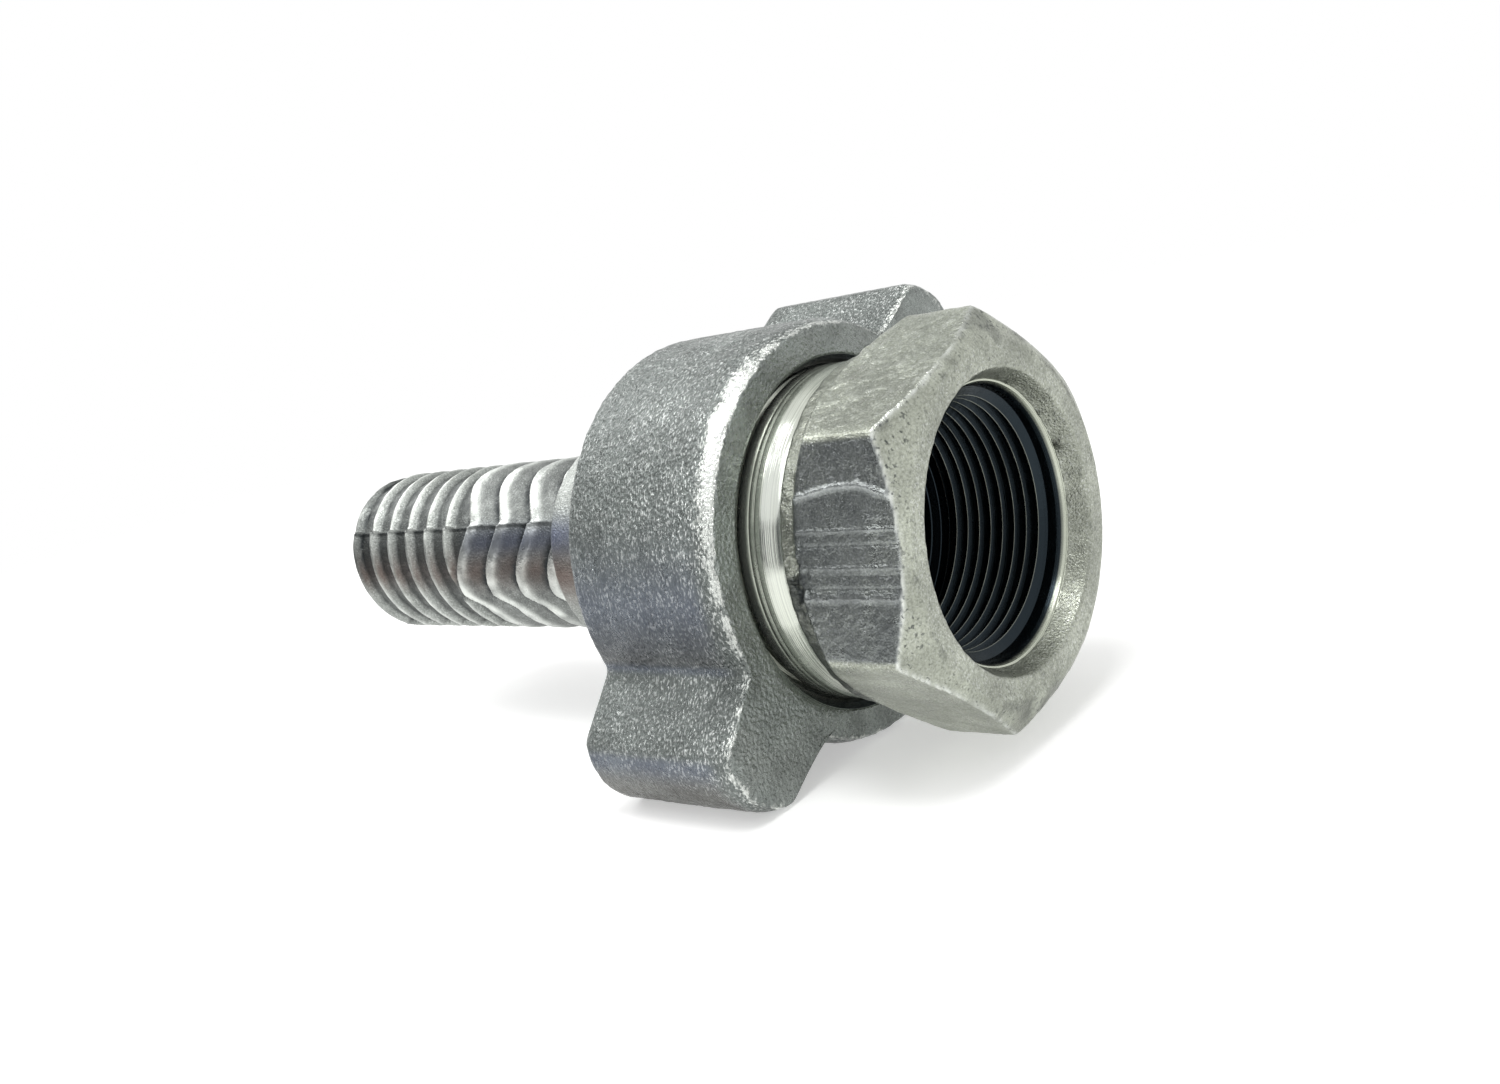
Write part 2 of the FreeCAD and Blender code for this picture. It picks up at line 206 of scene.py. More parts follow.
class FinishSettings(bpy.types.PropertyGroup):
    """Colours of the plated metals."""

    stem: colour_property("Stem", "Zinc plate of the forged stem", (0.34, 0.36, 0.34))
    casting: colour_property("Casting", "Zinc plate of the cast nut", (0.200, 0.222, 0.211))
    spud: colour_property("Pipe end", "Zinc plate of the pipe end", (0.45, 0.475, 0.40))
    # This colour also serves as painted shade in hollows, on the barbs' slopes and on the flat facing the
    # camera.
    soil_and_shade: colour_property("Soil", "Dark residue in the hollows", (0.022, 0.026, 0.028))
    copper: colour_property("Copper", "Copper of the seat ring", (0.60, 0.27, 0.14))


# Mesh tools


def ramp(low, high, value):
    """Rise from 0 to 1 between low and high."""
    t = np.clip((value - low) / (high - low), 0, 1)
    return t * t * (3 - 2 * t)


def soft_max(a, b, width):
    """The larger of two fields, blended where they are within width of each other."""
    h = np.maximum(width - np.abs(a - b), 0) / width
    return np.maximum(a, b) + h * h * width / 4


def soft_min(a, b, width):
    """The smaller of two fields, blended where they are within width of each other."""
    return -soft_max(-a, -b, width)


def bell(value, centre, width):
    """A bell of height 1 at centre."""
    return np.exp(-(((value - centre) / width) ** 2))


def wrap(angle):
    """An angle in radians brought to -pi..pi."""
    return (angle + math.pi) % TURN - math.pi


def about_axis(x, radius, turn):
    """Points at a place along the axis, a radius and an angle in radians."""
    return np.stack([x, radius * np.cos(turn), radius * np.sin(turn)], axis=-1)


def in_rows(shape, start, values):
    """A grid of zeros with the values in its rows from start on."""
    grid = np.zeros(shape)
    grid[start : start + len(values)] = values
    return grid


def grain(points, size, seed):
    """A smooth random field from -1 to 1 over points in mm, with grains of the given size."""
    cell = points / size + 11.7 * seed
    base = np.floor(cell).astype(np.int64)
    part = cell - base
    part = part * part * (3 - 2 * part)
    total = np.zeros(points.shape[:-1])
    for corner in range(8):
        step = np.array([corner & 1, corner >> 1 & 1, corner >> 2 & 1])
        key = ((base + step) * np.array([73856093, 19349663, 83492791])).sum(-1) + seed * 2654435761
        key = (key ^ (key >> 13)) * 1274126177 & 0xFFFFFFFF
        key = (key ^ (key >> 16)) & 0xFFFF
        weight = np.prod(np.where(step, part, 1 - part), axis=-1)
        total += weight * (key / 32767.5 - 1)
    return total


def section(corners, spacing, most=14):
    """Points along a chain of corners (x, r, rounding), with corners rounded.

    Each run between two corners is divided at the spacing, into at most the given number of steps.
    """
    points = []
    last = None
    for i, (x, r, rounding) in enumerate(corners):
        here = np.array([x, r])
        ahead = np.array(corners[min(i + 1, len(corners) - 1)][:2]) - here
        behind = np.array(corners[max(i - 1, 0)][:2]) - here
        turn = [here]
        if rounding and 0 < i < len(corners) - 1:
            a = here + behind * min(rounding / np.linalg.norm(behind), 0.45)
            b = here + ahead * min(rounding / np.linalg.norm(ahead), 0.45)
            steps = (0, 0.5, 1) if rounding < 0.35 else (0, 0.25, 0.5, 0.75, 1)
            turn = [(1 - t) ** 2 * a + 2 * t * (1 - t) * here + t * t * b for t in steps]
        if last is not None:
            count = min(max(1, round(float(np.linalg.norm(turn[0] - last)) / spacing)), most)
            points += [last + (turn[0] - last) * k / count for k in range(1, count)]
        points += turn
        last = turn[-1]
    return np.array(points)


def paint(mesh, fields):
    """Write every field on the mesh's points, as zero where none is given."""
    for label in FIELDS:
        values = np.broadcast_to(fields.get(label, 0.0), len(mesh.vertices))
        layer = mesh.attributes.new(label, "FLOAT", "POINT")
        layer.data.foreach_set("value", values.astype(np.float32))


def closed_skin(name, points, fields, material):
    """A mesh from a grid of points that closes on itself both ways, with its fields as attributes."""
    rows, columns = points.shape[:2]
    index = np.arange(rows * columns).reshape(rows, columns)
    down = np.roll(index, -1, axis=0)
    corner, across = np.roll(down, -1, axis=1), np.roll(index, -1, axis=1)
    quads = np.stack([index, down, corner, across], axis=-1).reshape(-1, 4)
    flat = points.reshape(-1, 3)
    a, b, c, d = (flat[quads[:, k]] for k in range(4))
    volume = np.einsum("ij,ij->i", a, np.cross(b, c)).sum() + np.einsum("ij,ij->i", a, np.cross(c, d)).sum()
    if volume < 0:
        quads = quads[:, ::-1]
    mesh = bpy.data.meshes.new(name)
    mesh.vertices.add(len(flat))
    mesh.vertices.foreach_set("co", (flat * MM).ravel())
    mesh.loops.add(quads.size)
    mesh.loops.foreach_set("vertex_index", quads.ravel())
    mesh.polygons.add(len(quads))
    mesh.polygons.foreach_set("loop_start", np.arange(0, quads.size, 4))
    mesh.polygons.foreach_set("use_smooth", np.ones(len(quads), bool))
    mesh.update(calc_edges=True)
    mesh.validate()
    paint(mesh, {label: np.broadcast_to(values, (rows, columns)).ravel() for label, values in fields.items()})
    piece = bpy.data.objects.new(name, mesh)
    bpy.context.scene.collection.objects.link(piece)
    mesh.materials.append(material)
    return piece


# Materials

# Colours that all plated pieces share.
# Painted glints: the white of the plate's sparkle.
GLINT_WHITE = (0.84, 0.87, 0.85)
# Wear on crests and edges, and also the colour of painted highlights.
WEAR_HIGHLIGHT_COLOUR = (0.78, 0.81, 0.77)
# Blue and brown tints; on the nut's wall and on the pipe end's facing flat they are painted reflection.
BLUE_TINT = (0.13, 0.16, 0.30)
BROWN_TINT = (0.115, 0.07, 0.055)
# Painted shade: the dark of bores and of threads deep inside.
PAINTED_BORE_SHADE = (0.016, 0.024, 0.030)


def add(tree, kind, values=None, **props):
    """Add a node; values holds its inputs, as numbers or as the sockets that feed them."""
    node = tree.nodes.new(kind)
    for key, value in props.items():
        setattr(node, key, value)
    for key, value in (values or {}).items():
        if isinstance(value, bpy.types.NodeSocket):
            tree.links.new(value, node.inputs[key])
        else:
            node.inputs[key].default_value = value
    return node


def maths(tree, operation, a, b=0.0, clamp=False):
    """One step of arithmetic."""
    return add(tree, "ShaderNodeMath", {0: a, 1: b}, operation=operation, use_clamp=clamp).outputs[0]


def times(tree, a, b, clamp=False):
    """The product of two values."""
    return maths(tree, "MULTIPLY", a, b, clamp)


def minus(tree, a, b, clamp=False):
    """The first value less the second."""
    return maths(tree, "SUBTRACT", a, b, clamp)


def between(tree, value, low, high, to_low=0.0, to_high=1.0):
    """Bring a value from low..high to to_low..to_high, clamped."""
    values = {"Value": value, "From Min": low, "From Max": high, "To Min": to_low, "To Max": to_high}
    return add(tree, "ShaderNodeMapRange", values).outputs[0]


def mixed(tree, factor, a, b):
    """Mix two colours."""
    first, second = (x if isinstance(x, bpy.types.NodeSocket) else (*x, 1.0) for x in (a, b))
    return add(tree, "ShaderNodeMix", {0: factor, 6: first, 7: second}, data_type="RGBA").outputs[2]


def shade(colour, factor):
    """A colour made lighter or darker."""
    return tuple(min(1.0, c * factor) for c in colour)


def noise(tree, vector, size_mm, detail=2.0, rough=0.5):
    """Noise whose features are about size_mm wide."""
    values = {"Vector": vector, "Scale": 1 / (size_mm * MM), "Detail": detail, "Roughness": rough}
    return add(tree, "ShaderNodeTexNoise", values).outputs[0]


def field(tree, name):
    """A value painted on the piece's points."""
    return add(tree, "ShaderNodeAttribute", attribute_name=name).outputs["Fac"]


def cleared(owner):
    """The node tree of a material or a world, emptied."""
    owner.use_nodes = True
    owner.node_tree.nodes.clear()
    return owner.node_tree


def shown(tree):
    """1 for the camera, reflections and glass, and 0 for rays that only light the scene."""
    rays = add(tree, "ShaderNodeLightPath").outputs
    seen = maths(tree, "MAXIMUM", rays["Is Camera Ray"], rays["Is Transmission Ray"])
    return maths(tree, "MAXIMUM", seen, rays["Is Glossy Ray"])


def new_metal(name):
    """An empty metal with its Principled node and its place on the piece."""
    material = bpy.data.materials.new(name)
    tree = cleared(material)
    shader = add(tree, "ShaderNodeBsdfPrincipled")
    add(tree, "ShaderNodeOutputMaterial", {0: shader.outputs[0]})
    place = add(tree, "ShaderNodeTexCoord").outputs["Object"]
    return material, tree, shader, place


def set_relief(tree, shader, height, depth_mm, strength=1.0):
    """Give the shader a bump of the given depth."""
    values = {"Height": height, "Distance": depth_mm * MM, "Strength": strength}
    tree.links.new(add(tree, "ShaderNodeBump", values).outputs[0], shader.inputs["Normal"])


def turned_lines(tree, place, size_mm):
    """Fine grooves left by a lathe tool: constant round the axis, on barrels and faces alike."""
    axes = add(tree, "ShaderNodeSeparateXYZ", {0: place})
    squares = [maths(tree, "POWER", axes.outputs[k], 2) for k in (1, 2)]
    along = maths(tree, "ADD", maths(tree, "SQRT", maths(tree, "ADD", *squares)), axes.outputs[0])
    values = {"W": along, "Scale": 1 / (size_mm * MM), "Detail": 2.0}
    return add(tree, "ShaderNodeTexNoise", values, noise_dimensions="1D").outputs[0]


def plated_metal(
    name, colour, soil_and_shade, grain_mm, bump_mm, rough, contrast, glint_strength, glint_mm, draw=1.0, ragged=0.0
):
    """Zinc plate on forged or cast iron, with soil and painted shade in its hollows, bright worn crests that
    are also painted highlights, painted glints and turned faces.

    grain_mm and bump_mm are the width and height of the skin's grain. contrast says how uneven its colour
    is. The next two arguments give the strength and the length of the painted glints, white flecks that stand
    in for sparkle, and draw how many times finer a glint is along the axis than round it. ragged says how far
    the glints' noise breaks up the edges of worn and highlit places.
    """
    material, tree, shader, place = new_metal(name)
    stretched = {0: place, 1: (draw, 1.0, 1.0)}
    drawn = add(tree, "ShaderNodeVectorMath", stretched, operation="MULTIPLY").outputs[0]
    fine = noise(tree, drawn, grain_mm, 3.0, 0.6)
    broad = noise(tree, place, 9.0, 3.0, 0.55)
    stains = noise(tree, place, 3.2, 4.0, 0.62)
    specks = noise(tree, drawn, glint_mm, 1.5, 0.5)
    pits = noise(tree, place, 0.8, 2.0, 0.5)
    lines = turned_lines(tree, place, 0.16)
    turned = field(tree, "turned")
    wear_and_highlight = field(tree, "wear_and_highlight")
    cast = minus(tree, 1.0, turned, clamp=True)

    # Skin: patches, grain, a paler tone that is painted light on the nut's front face, painted glints, and
    # lines where it is turned.
    dark = shade(colour, 1 - contrast)
    light = shade(colour, 1 + 0.7 * contrast)
    patches = mixed(tree, between(tree, broad, 0.36, 0.66), dark, light)
    grainy = mixed(tree, times(tree, between(tree, fine, 0.40, 0.66), 0.65), patches, shade(dark, 0.6))
    # Painted glints: white flecks, fewer where the glint damping field is high.
    glint_allowed = minus(tree, cast, field(tree, "glint_damping"), clamp=True)
    glint_density = times(tree, glint_allowed, between(tree, broad, 0.32, 0.62, 0.45, 1.0))
    glint = times(tree, between(tree, specks, 0.54, 0.65), times(tree, glint_density, glint_strength))
    # A paler tone; on the nut's front face it is painted light that lifts the face out of shade.
    lifted = mixed(tree, field(tree, "pale"), grainy, shade(light, 1.8))
    glinted = mixed(tree, glint, lifted, GLINT_WHITE)
    machined = mixed(tree, between(tree, lines, 0.35, 0.65), shade(colour, 1.35), shade(colour, 0.9))
    skin = mixed(tree, turned, glinted, machined)

    # Wear, which also stands in for painted highlights on crests and edges, and blue and brown tints, which
    # on the nut and the pipe end's facing flat are painted reflection.
    wear_highlight_mask = wear_and_highlight
    if ragged:
        torn = maths(tree, "ADD", wear_and_highlight, times(tree, minus(tree, specks, 0.5), ragged))
        wear_highlight_mask = times(tree, between(tree, torn, 0.2, 0.6), between(tree, wear_and_highlight, 0.0, 0.15))
    bright = mixed(tree, times(tree, wear_highlight_mask, 0.9, clamp=True), skin, WEAR_HIGHLIGHT_COLOUR)
    blue = mixed(tree, times(tree, field(tree, "blue"), 0.8), bright, BLUE_TINT)
    brown = mixed(tree, times(tree, field(tree, "brown"), 0.9), blue, BROWN_TINT)

    # Soil and painted shade: stains, pits, soil that also stands in for shade, and painted shade in deep
    # places.
    stained = times(tree, field(tree, "soiled_and_shaded"), between(tree, stains, 0.22, 0.55, 0.5, 1.0), clamp=True)
    dirty_and_shaded = mixed(tree, stained, brown, soil_and_shade)
    pitted = times(tree, between(tree, pits, 0.60, 0.68), field(tree, "pitted"), clamp=True)
    marked = mixed(tree, pitted, dirty_and_shaded, shade(soil_and_shade, 1.6))
    # Painted shade: deep places get the dark bore colour.
    final = mixed(tree, between(tree, field(tree, "deep"), 0.15, 0.6), marked, PAINTED_BORE_SHADE)
    tree.links.new(final, shader.inputs["Base Color"])

    gloss = between(tree, stains, 0.35, 0.68, rough - 0.08, rough + 0.12)
    smooth = minus(tree, gloss, times(tree, wear_and_highlight, 0.10))
    polished = minus(tree, smooth, times(tree, turned, 0.14))
    tree.links.new(maths(tree, "MAXIMUM", polished, 0.14), shader.inputs["Roughness"])
    shader.inputs["Metallic"].default_value = 0.87

    cells = {"Vector": place, "Scale": 1 / (grain_mm * MM), "Randomness": 1.0}
    pebbles = add(tree, "ShaderNodeTexVoronoi", cells, feature="SMOOTH_F1").outputs["Distance"]
    rough_skin = minus(tree, fine, times(tree, pebbles, 0.55))
    kept = minus(tree, cast, times(tree, wear_and_highlight, 0.6), clamp=True)
    height = times(tree, maths(tree, "ADD", rough_skin, times(tree, specks, 0.8)), kept)
    grooves = times(tree, times(tree, lines, turned), 0.22)
    set_relief(tree, shader, maths(tree, "ADD", height, grooves), bump_mm)
    return material


def copper_metal(name, colour):
    """Soft copper, turned and lightly tarnished."""
    material, tree, shader, place = new_metal(name)
    tarnish = noise(tree, place, 2.4, 3.0, 0.6)
    base = mixed(tree, between(tree, tarnish, 0.35, 0.68), colour, shade(colour, 0.62))
    tree.links.new(base, shader.inputs["Base Color"])
    tree.links.new(between(tree, tarnish, 0.3, 0.7, 0.26, 0.46), shader.inputs["Roughness"])
    shader.inputs["Metallic"].default_value = 1.0
    set_relief(tree, shader, turned_lines(tree, place, 0.2), 0.02, 0.6)
    return material


# Hose stem

RING_FIRST = -140.4
RING_STEP = 6.42
RING_HALF_WIDTH = 1.45
RINGS_END = -108.5
BARB_FIRST = -106.9
BARB_STEP = 9.15
BARB_COUNT = 4
BARB_LAND = 2.0
BARB_SLOPE = 6.4
BARB_SWEEP = 5.2

# The forging's rough skin ends just inside the nut's back wall.
SKIN_END = -56.0


def ring_ridges(u):
    """Height of one narrow ring over the valley, from 0 to 1, at a distance u from its crest."""
    return np.clip(1 - (np.abs(u) / RING_HALF_WIDTH) ** 1.5, 0, 1)


def barb_height(u):
    """Height of a wide barb, from 0 to 1: a steep step at 0, a short land and a slope to the collar."""
    step = ramp(-0.75, 0.1, u)
    slope = np.clip((u - BARB_LAND) / BARB_SLOPE, 0, 1)
    return np.where(u < 0.1, step, 1 - slope)


def shank(x, angle, settings):
    """Radius of the barbed shank over a grid of places and angles, with its crests, hollows and slopes."""
    from_seam = np.degrees(wrap(np.radians(angle - PARTING)))
    lower = ramp(-0.6, 0.6, from_seam) * (1 - ramp(179.4, 180.0, from_seam))
    lower = np.where(from_seam < -179.4, 1 - ramp(-180.0, -179.4, from_seam), lower)
    offset = settings.mismatch / MM * (0.5 - lower)
    near = np.degrees(np.arcsin(np.abs(np.sin(np.radians(from_seam)))))

    rings = np.zeros(np.broadcast(x, angle).shape)
    slant = 2.1 * np.sin(np.radians(from_seam)) * ramp(-95, -80, -near) + offset
    for k in range(-1, 5):
        rings = np.maximum(rings, ring_ridges(x - (RING_FIRST + RING_STEP * k) - slant))

    lobes = np.abs(np.sin(np.radians(2 * from_seam))) ** 1.5
    cut = 1 - ramp(48, 62, near) * (from_seam > 0) * 0.8
    sweep = -BARB_SWEEP * lobes * cut + offset
    barbs = np.zeros_like(rings)
    for k in range(BARB_COUNT):
        from_step = x - (BARB_FIRST + BARB_STEP * k) - sweep
        barbs = np.where(from_step > -0.9, barb_height(from_step), barbs)

    rings = rings * ramp(0, -1.2, x - RINGS_END - sweep)
    height = np.maximum(rings, barbs)
    valley = settings.valley / MM
    radius = valley + (settings.crest / MM - valley) * height
    tail = TAIL_RADIUS + (x - STEM_END) * 1.05
    radius = soft_min(radius, tail + 0 * radius, 0.3)
    # Crests: wear, and painted highlights on the crests as well.
    wear_and_highlight = np.clip((height - 0.62) / 0.38, 0, 1) ** 1.5
    hollow = 1 - ramp(0.0, 0.42, height)
    slope = ramp(0.02, 0.25, 1 - barbs) * (barbs > rings) * (barbs > 0.02)
    return radius, wear_and_highlight, hollow, slope, from_seam


def stem_head(bore):
    """Section of the stem from the shank over collar, neck, flange and nose, and back through the bore."""
    nose = [
        (BALL_CENTRE + math.sqrt(BALL_RADIUS**2 - r * r), r, 0) for r in np.linspace(NOSE_FOOT, NOSE_END, 6)
    ]
    return section(
        [(SHANK_END, SHANK_RADIUS, 0), (SHANK_END, COLLAR_RADIUS, 0.8), (COLLAR_END, COLLAR_RADIUS, 0.9),
         (COLLAR_END, STEM_NECK, 0.7), (SHOULDER, STEM_NECK, 0.9), (SHOULDER, FLANGE_RADIUS, 0.5),
         (FLANGE_FRONT, FLANGE_RADIUS, 0.6), (FLANGE_FRONT, NOSE_FOOT, 0.2)]
        + nose
        + [(NOSE_TIP, NOSE_END, 0.15), (NOSE_TIP, bore, 0.5), (STEM_END, bore, 0.5),
           (STEM_END, TAIL_RADIUS, 0.3)],
        1.6,
    )


def stem_shape(settings):
    """Points and fields of the hose stem."""
    count = settings.columns
    angle = (np.arange(count) * 360.0 / count)[None, :]
    bore = settings.bore / MM
    head = stem_head(bore)
    rows = np.linspace(STEM_END + 0.25, SHANK_END - 0.05, 205)[:, None]
    *marks, from_seam = shank(rows, angle, settings)
    extra = np.zeros((len(head), count))
    radius, wear_and_highlight, hollow, slope = (np.vstack([mark, extra]) for mark in marks)
    x = np.vstack([rows + 0 * angle, head[:, :1] + 0 * angle])
    radius = radius + in_rows(x.shape, len(rows), head[:, 1:])
    seam = np.vstack([from_seam + 0 * rows, extra + from_seam[:1]])
    turn = np.radians(angle) + 0 * x
    flat = about_axis(x, radius, turn)
    outside = (radius > bore + 1.2) & (x < SKIN_END)
    skin = 0.045 * grain(flat, 0.95, 3) + 0.035 * grain(flat, 2.6, 4)
    flash = 0.16 * bell(seam, 0, 0.9) * (x < SHANK_END) * (1 + 0.8 * grain(flat, 1.6, 5))
    radius = radius + outside * (skin + flash)
    in_bore = radius < bore + 0.3
    shaft = (x < SHANK_END).astype(float)
    tail = ramp(4.0, 2.4, x - STEM_END)
    # Darker in the hollows (soil and painted shade), on the barbs' slopes (painted shade) and just below the
    # seam.
    soiled_and_shaded = 0.70 * hollow * shaft + 0.48 * slope * shaft + 0.35 * bell(seam, 0.9, 0.8) * shaft
    fields = {
        "wear_and_highlight": wear_and_highlight * (0.7 + 0.6 * grain(flat, 1.8, 6)).clip(0, 1),
        "soiled_and_shaded": (soiled_and_shaded + 0.55 * tail).clip(0, 1),
        # Painted shade: the bore darkens inwards.
        "deep": np.where(in_bore, 0.9, 0.0) * ramp(STEM_END, STEM_END + 12, x),
        "turned": np.where((x > SHOULDER + 0.4) | in_bore, 1.0, 0.0),
        "blue": 0.85 * bell(seam, 11, 9) * ramp(-113, -104, x) * (0.8 + 0.2 * grain(flat, 6.0, 7)),
        "brown": 0.95 * bell(seam, 31, 13) * (0.8 + 0.2 * grain(flat, 6.0, 8)) * (1 - 0.6 * wear_and_highlight),
        "pitted": 0.10,
    }
    return about_axis(x, radius, turn), fields


class COUPLING_OT_stem(bpy.types.Operator):
    """Build the forged hose stem with its rings, barbs and collar"""

    bl_idname = "coupling.make_stem"
    bl_label = "Hose stem"

    def execute(self, context):
        finish = context.scene.coupling_finish
        points, fields = stem_shape(context.scene.coupling_stem)
        metal = plated_metal(
            "forged stem zinc", tuple(finish.stem), tuple(finish.soil_and_shade),
            grain_mm=0.42, bump_mm=0.10, rough=0.40, contrast=0.20, glint_strength=0.35, glint_mm=0.30,
        )
        piece = closed_skin("stem_forging", points, fields, metal)
        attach(piece, "stem")
        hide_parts("hose_stem")
        return {"FINISHED"}


# Wing nut

# A wing's half width at the axis, its taper for each millimetre outwards, and the radius of its tip.
WING_HALF_WIDTH = 15.256
WING_TAPER = 0.14486
WING_TIP = 12.0

# Edges of the ring: the radius of the back one, and the radius, run and inset of the front one.
BACK_EDGE = 1.7
FRONT_EDGE = 6.4
FRONT_RUN = 3.6
FRONT_INSET = 1.2

# Half the width and height that the casting's grain may not pass.
WIDEST = 41.29
HIGHEST = 34.847


def nut_outline(angle, settings):
    """Radius of the nut's outline at an angle in radians, and the angle from the nearest wing."""
    from_wing = np.abs(wrap(2 * (angle - math.radians(WING)))) / 2
    side = WING_HALF_WIDTH / (np.abs(np.sin(from_wing)) + WING_TAPER * np.cos(from_wing))
    middle = settings.reach / MM - WING_TIP
    inside = np.clip(WING_TIP**2 - (middle * np.sin(from_wing)) ** 2, 0, None)
    tip = middle * np.cos(from_wing) + np.sqrt(inside)
    wing = np.where(from_wing < 0.9, soft_min(side, tip, 1.3), 0.0)
    return soft_max(np.full_like(angle, settings.ring / MM), wing, 2.6), from_wing


def nut_rows(bore):
    """The nut's section, as rows of (x, share, inner radius, inset).

    The share is how far a row lies from the inner circle to the outline. The inset is how far in it lies
    from the outline.
    """
    rows = [(NUT_BACK, share, BACK_HOLE, BACK_EDGE) for share in np.linspace(0, 1, 12)[:-1]]
    for a in np.radians(np.linspace(0, 90, 7)):
        rows.append((NUT_BACK + BACK_EDGE * (1 - math.cos(a)), 1, BACK_HOLE, BACK_EDGE * (1 - math.sin(a))))
    for x in np.linspace(NUT_BACK + BACK_EDGE, NUT_FRONT - FRONT_RUN, 44)[1:-1]:
        rows.append((x, 1, BACK_HOLE, 0.0))
    for step in np.linspace(0, 3.5, 12):
        inset = FRONT_EDGE - math.sqrt(FRONT_EDGE**2 - step**2)
        rows.append((NUT_FRONT - FRONT_RUN + step, 1, COUNTERSINK, inset))
    rows += [(NUT_FRONT, share, COUNTERSINK, FRONT_INSET) for share in np.linspace(1, 0, 13)]
    inside = section(
        [(NUT_FRONT, COUNTERSINK, 0), (NUT_FRONT - 0.15, COUNTERSINK - 0.1, 0), (NUT_FRONT - 2.4, bore, 0.3),
         (NUT_WALL, bore, 0.3), (NUT_WALL, BACK_HOLE, 0.3), (NUT_BACK, BACK_HOLE, 0)],
        2.2,
    )[1:-1]
    return np.array(rows + [(x, 0.0, r, 0.0) for x, r in inside])


def nut_shape(settings):
    """Points and fields of the wing nut."""
    count = settings.columns

    # Columns lie evenly along the outline, and nearly evenly round the bore.
    dense = np.linspace(0, TURN, 7201)
    reach, _ = nut_outline(dense, settings)
    y, z = reach * np.cos(dense), reach * np.sin(dense)
    length = np.concatenate([[0], np.cumsum(np.hypot(np.diff(y), np.diff(z)))])
    outer_angle = np.interp(np.arange(count) * length[-1] / count, length, dense)
    outline, from_wing = nut_outline(outer_angle, settings)
    inner_angle = 0.35 * outer_angle + 0.65 * np.arange(count) * TURN / count

    x, share, inner, inset = (column[:, None] for column in nut_rows(settings.thread_bore / MM).T)
    x = x + np.zeros(count)
    inner = inner + (inner > 28) * 0.4 * np.cos(inner_angle - math.radians(255)).clip(0, None)[None, :]
    rim = outline[None, :] - inset
    outer_points = about_axis(x, rim, outer_angle)
    inner_points = about_axis(x, inner, inner_angle)
    flat = inner_points + (outer_points - inner_points) * share[..., None]

    # The sand's grain and the casting's waves.
    on_side = share >= 1
    cast = ramp(0.0, 0.12, share) * np.ones(count)
    on_front = (x > NUT_FRONT - 0.4) * cast
    rough = settings.grain / MM * (grain(flat, 0.85, 11) + 0.6 * grain(flat, 1.9, 12))
    rough = rough * cast * np.where(on_front > 0, 0.45, 1.0)
    wave = 0.25 * grain(flat, 9.0, 13) * ramp(0.3, 0.9, share)
    outward = np.where(on_side, rough + np.minimum(wave, 0), 0)
    points = flat + about_axis(0 * x, outward, outer_angle)
    points[..., 0] += np.where((share < 1) & (share > 0.05), rough, 0.0) * np.where(x > -40, 1, -1)
    points = points.clip([NUT_BACK, -WIDEST, -HIGHEST], [NUT_FRONT, WIDEST, HIGHEST])
    points[..., 0] -= 0.35 * (bell(x, NUT_FRONT, 0.5) * on_side) * grain(flat, 1.2, 17).clip(0, 1)

    # Worn edges, a painted highlight on the shoulder, tints of painted reflection and fewer painted glints.
    # A painted highlight: a bright band on the shoulder's upper side towards the camera, and a bright band
    # behind the front edge all round, partly wear.
    side = on_side * ramp(-0.5, 0.5, x - NUT_BACK)
    highlight_window = bell(np.degrees(outer_angle % TURN), 138, 26)[None, :]
    shoulder_highlight = side * (
        ramp(-29.2, -26.4, x) * highlight_window * (0.9 + 0.5 * grain(flat, 2.2, 18))
        + 0.55 * bell(x, NUT_FRONT - 0.7, 0.55) * (0.6 + 0.6 * grain(flat, 3.0, 19))
    )
    worn_edge = bell(x, NUT_FRONT - 0.15, 0.35) * on_side * (0.45 + 0.9 * grain(flat, 1.5, 14))
    root = bell(from_wing, math.radians(29), 0.12)[None, :] * on_side
    wall = on_side * ramp(-26.5, -30.5, x)
    run_y = np.roll(outline * np.cos(outer_angle), -3) - np.roll(outline * np.cos(outer_angle), 3)
    run_z = np.roll(outline * np.sin(outer_angle), -3) - np.roll(outline * np.sin(outer_angle), 3)
    uphill = (-run_y / np.hypot(run_y, run_z))[None, :]
    under = ramp(0.0, -0.45, uphill)
    wall_soil = 0.08 * wall * (0.6 + 0.7 * grain(flat, 4.5, 15))
    back_dull = 0.7 * (share < 1) * (x < -50)
    # Fewer painted glints towards the back, and on the lower side where less light falls.
    side_glint_fade = side * (0.35 * ramp(-32, -52, x) + 0.45 * under)
    fields = {
        "wear_and_highlight": (np.maximum(worn_edge, shoulder_highlight) * (1 - 0.5 * (x > NUT_FRONT - 0.02))).clip(0, 1),
        "soiled_and_shaded": (0.35 * root * (1 - on_front) + wall_soil + 0.10 * on_front).clip(0, 1),
        "pitted": 0.30 * on_front,
        # Painted shade: the bore is dark.
        "deep": 1.0 * (share < 0.02) * (x < NUT_FRONT - 0.1),
        "turned": np.where((share < 0.02) & (inner < 30), 1.0, 0.0),
        # Painted reflection: blue where the wall faces just below level and brown where it faces down. The
        # front face's brown is a stain.
        "blue": 0.34 * wall * bell(uphill, -0.05, 0.24),
        "brown": 0.16 * on_front * (0.6 + 0.4 * grain(flat, 5.0, 16)) + 0.28 * wall * under,
        "glint_damping": (0.85 * on_front + back_dull + side_glint_fade).clip(0, 1),
        # Painted light: the front face is made paler to lift it out of shade.
        "pale": 0.55 * on_front * (0.8 + 0.5 * grain(flat, 3.5, 20)),
    }
    return points, fields


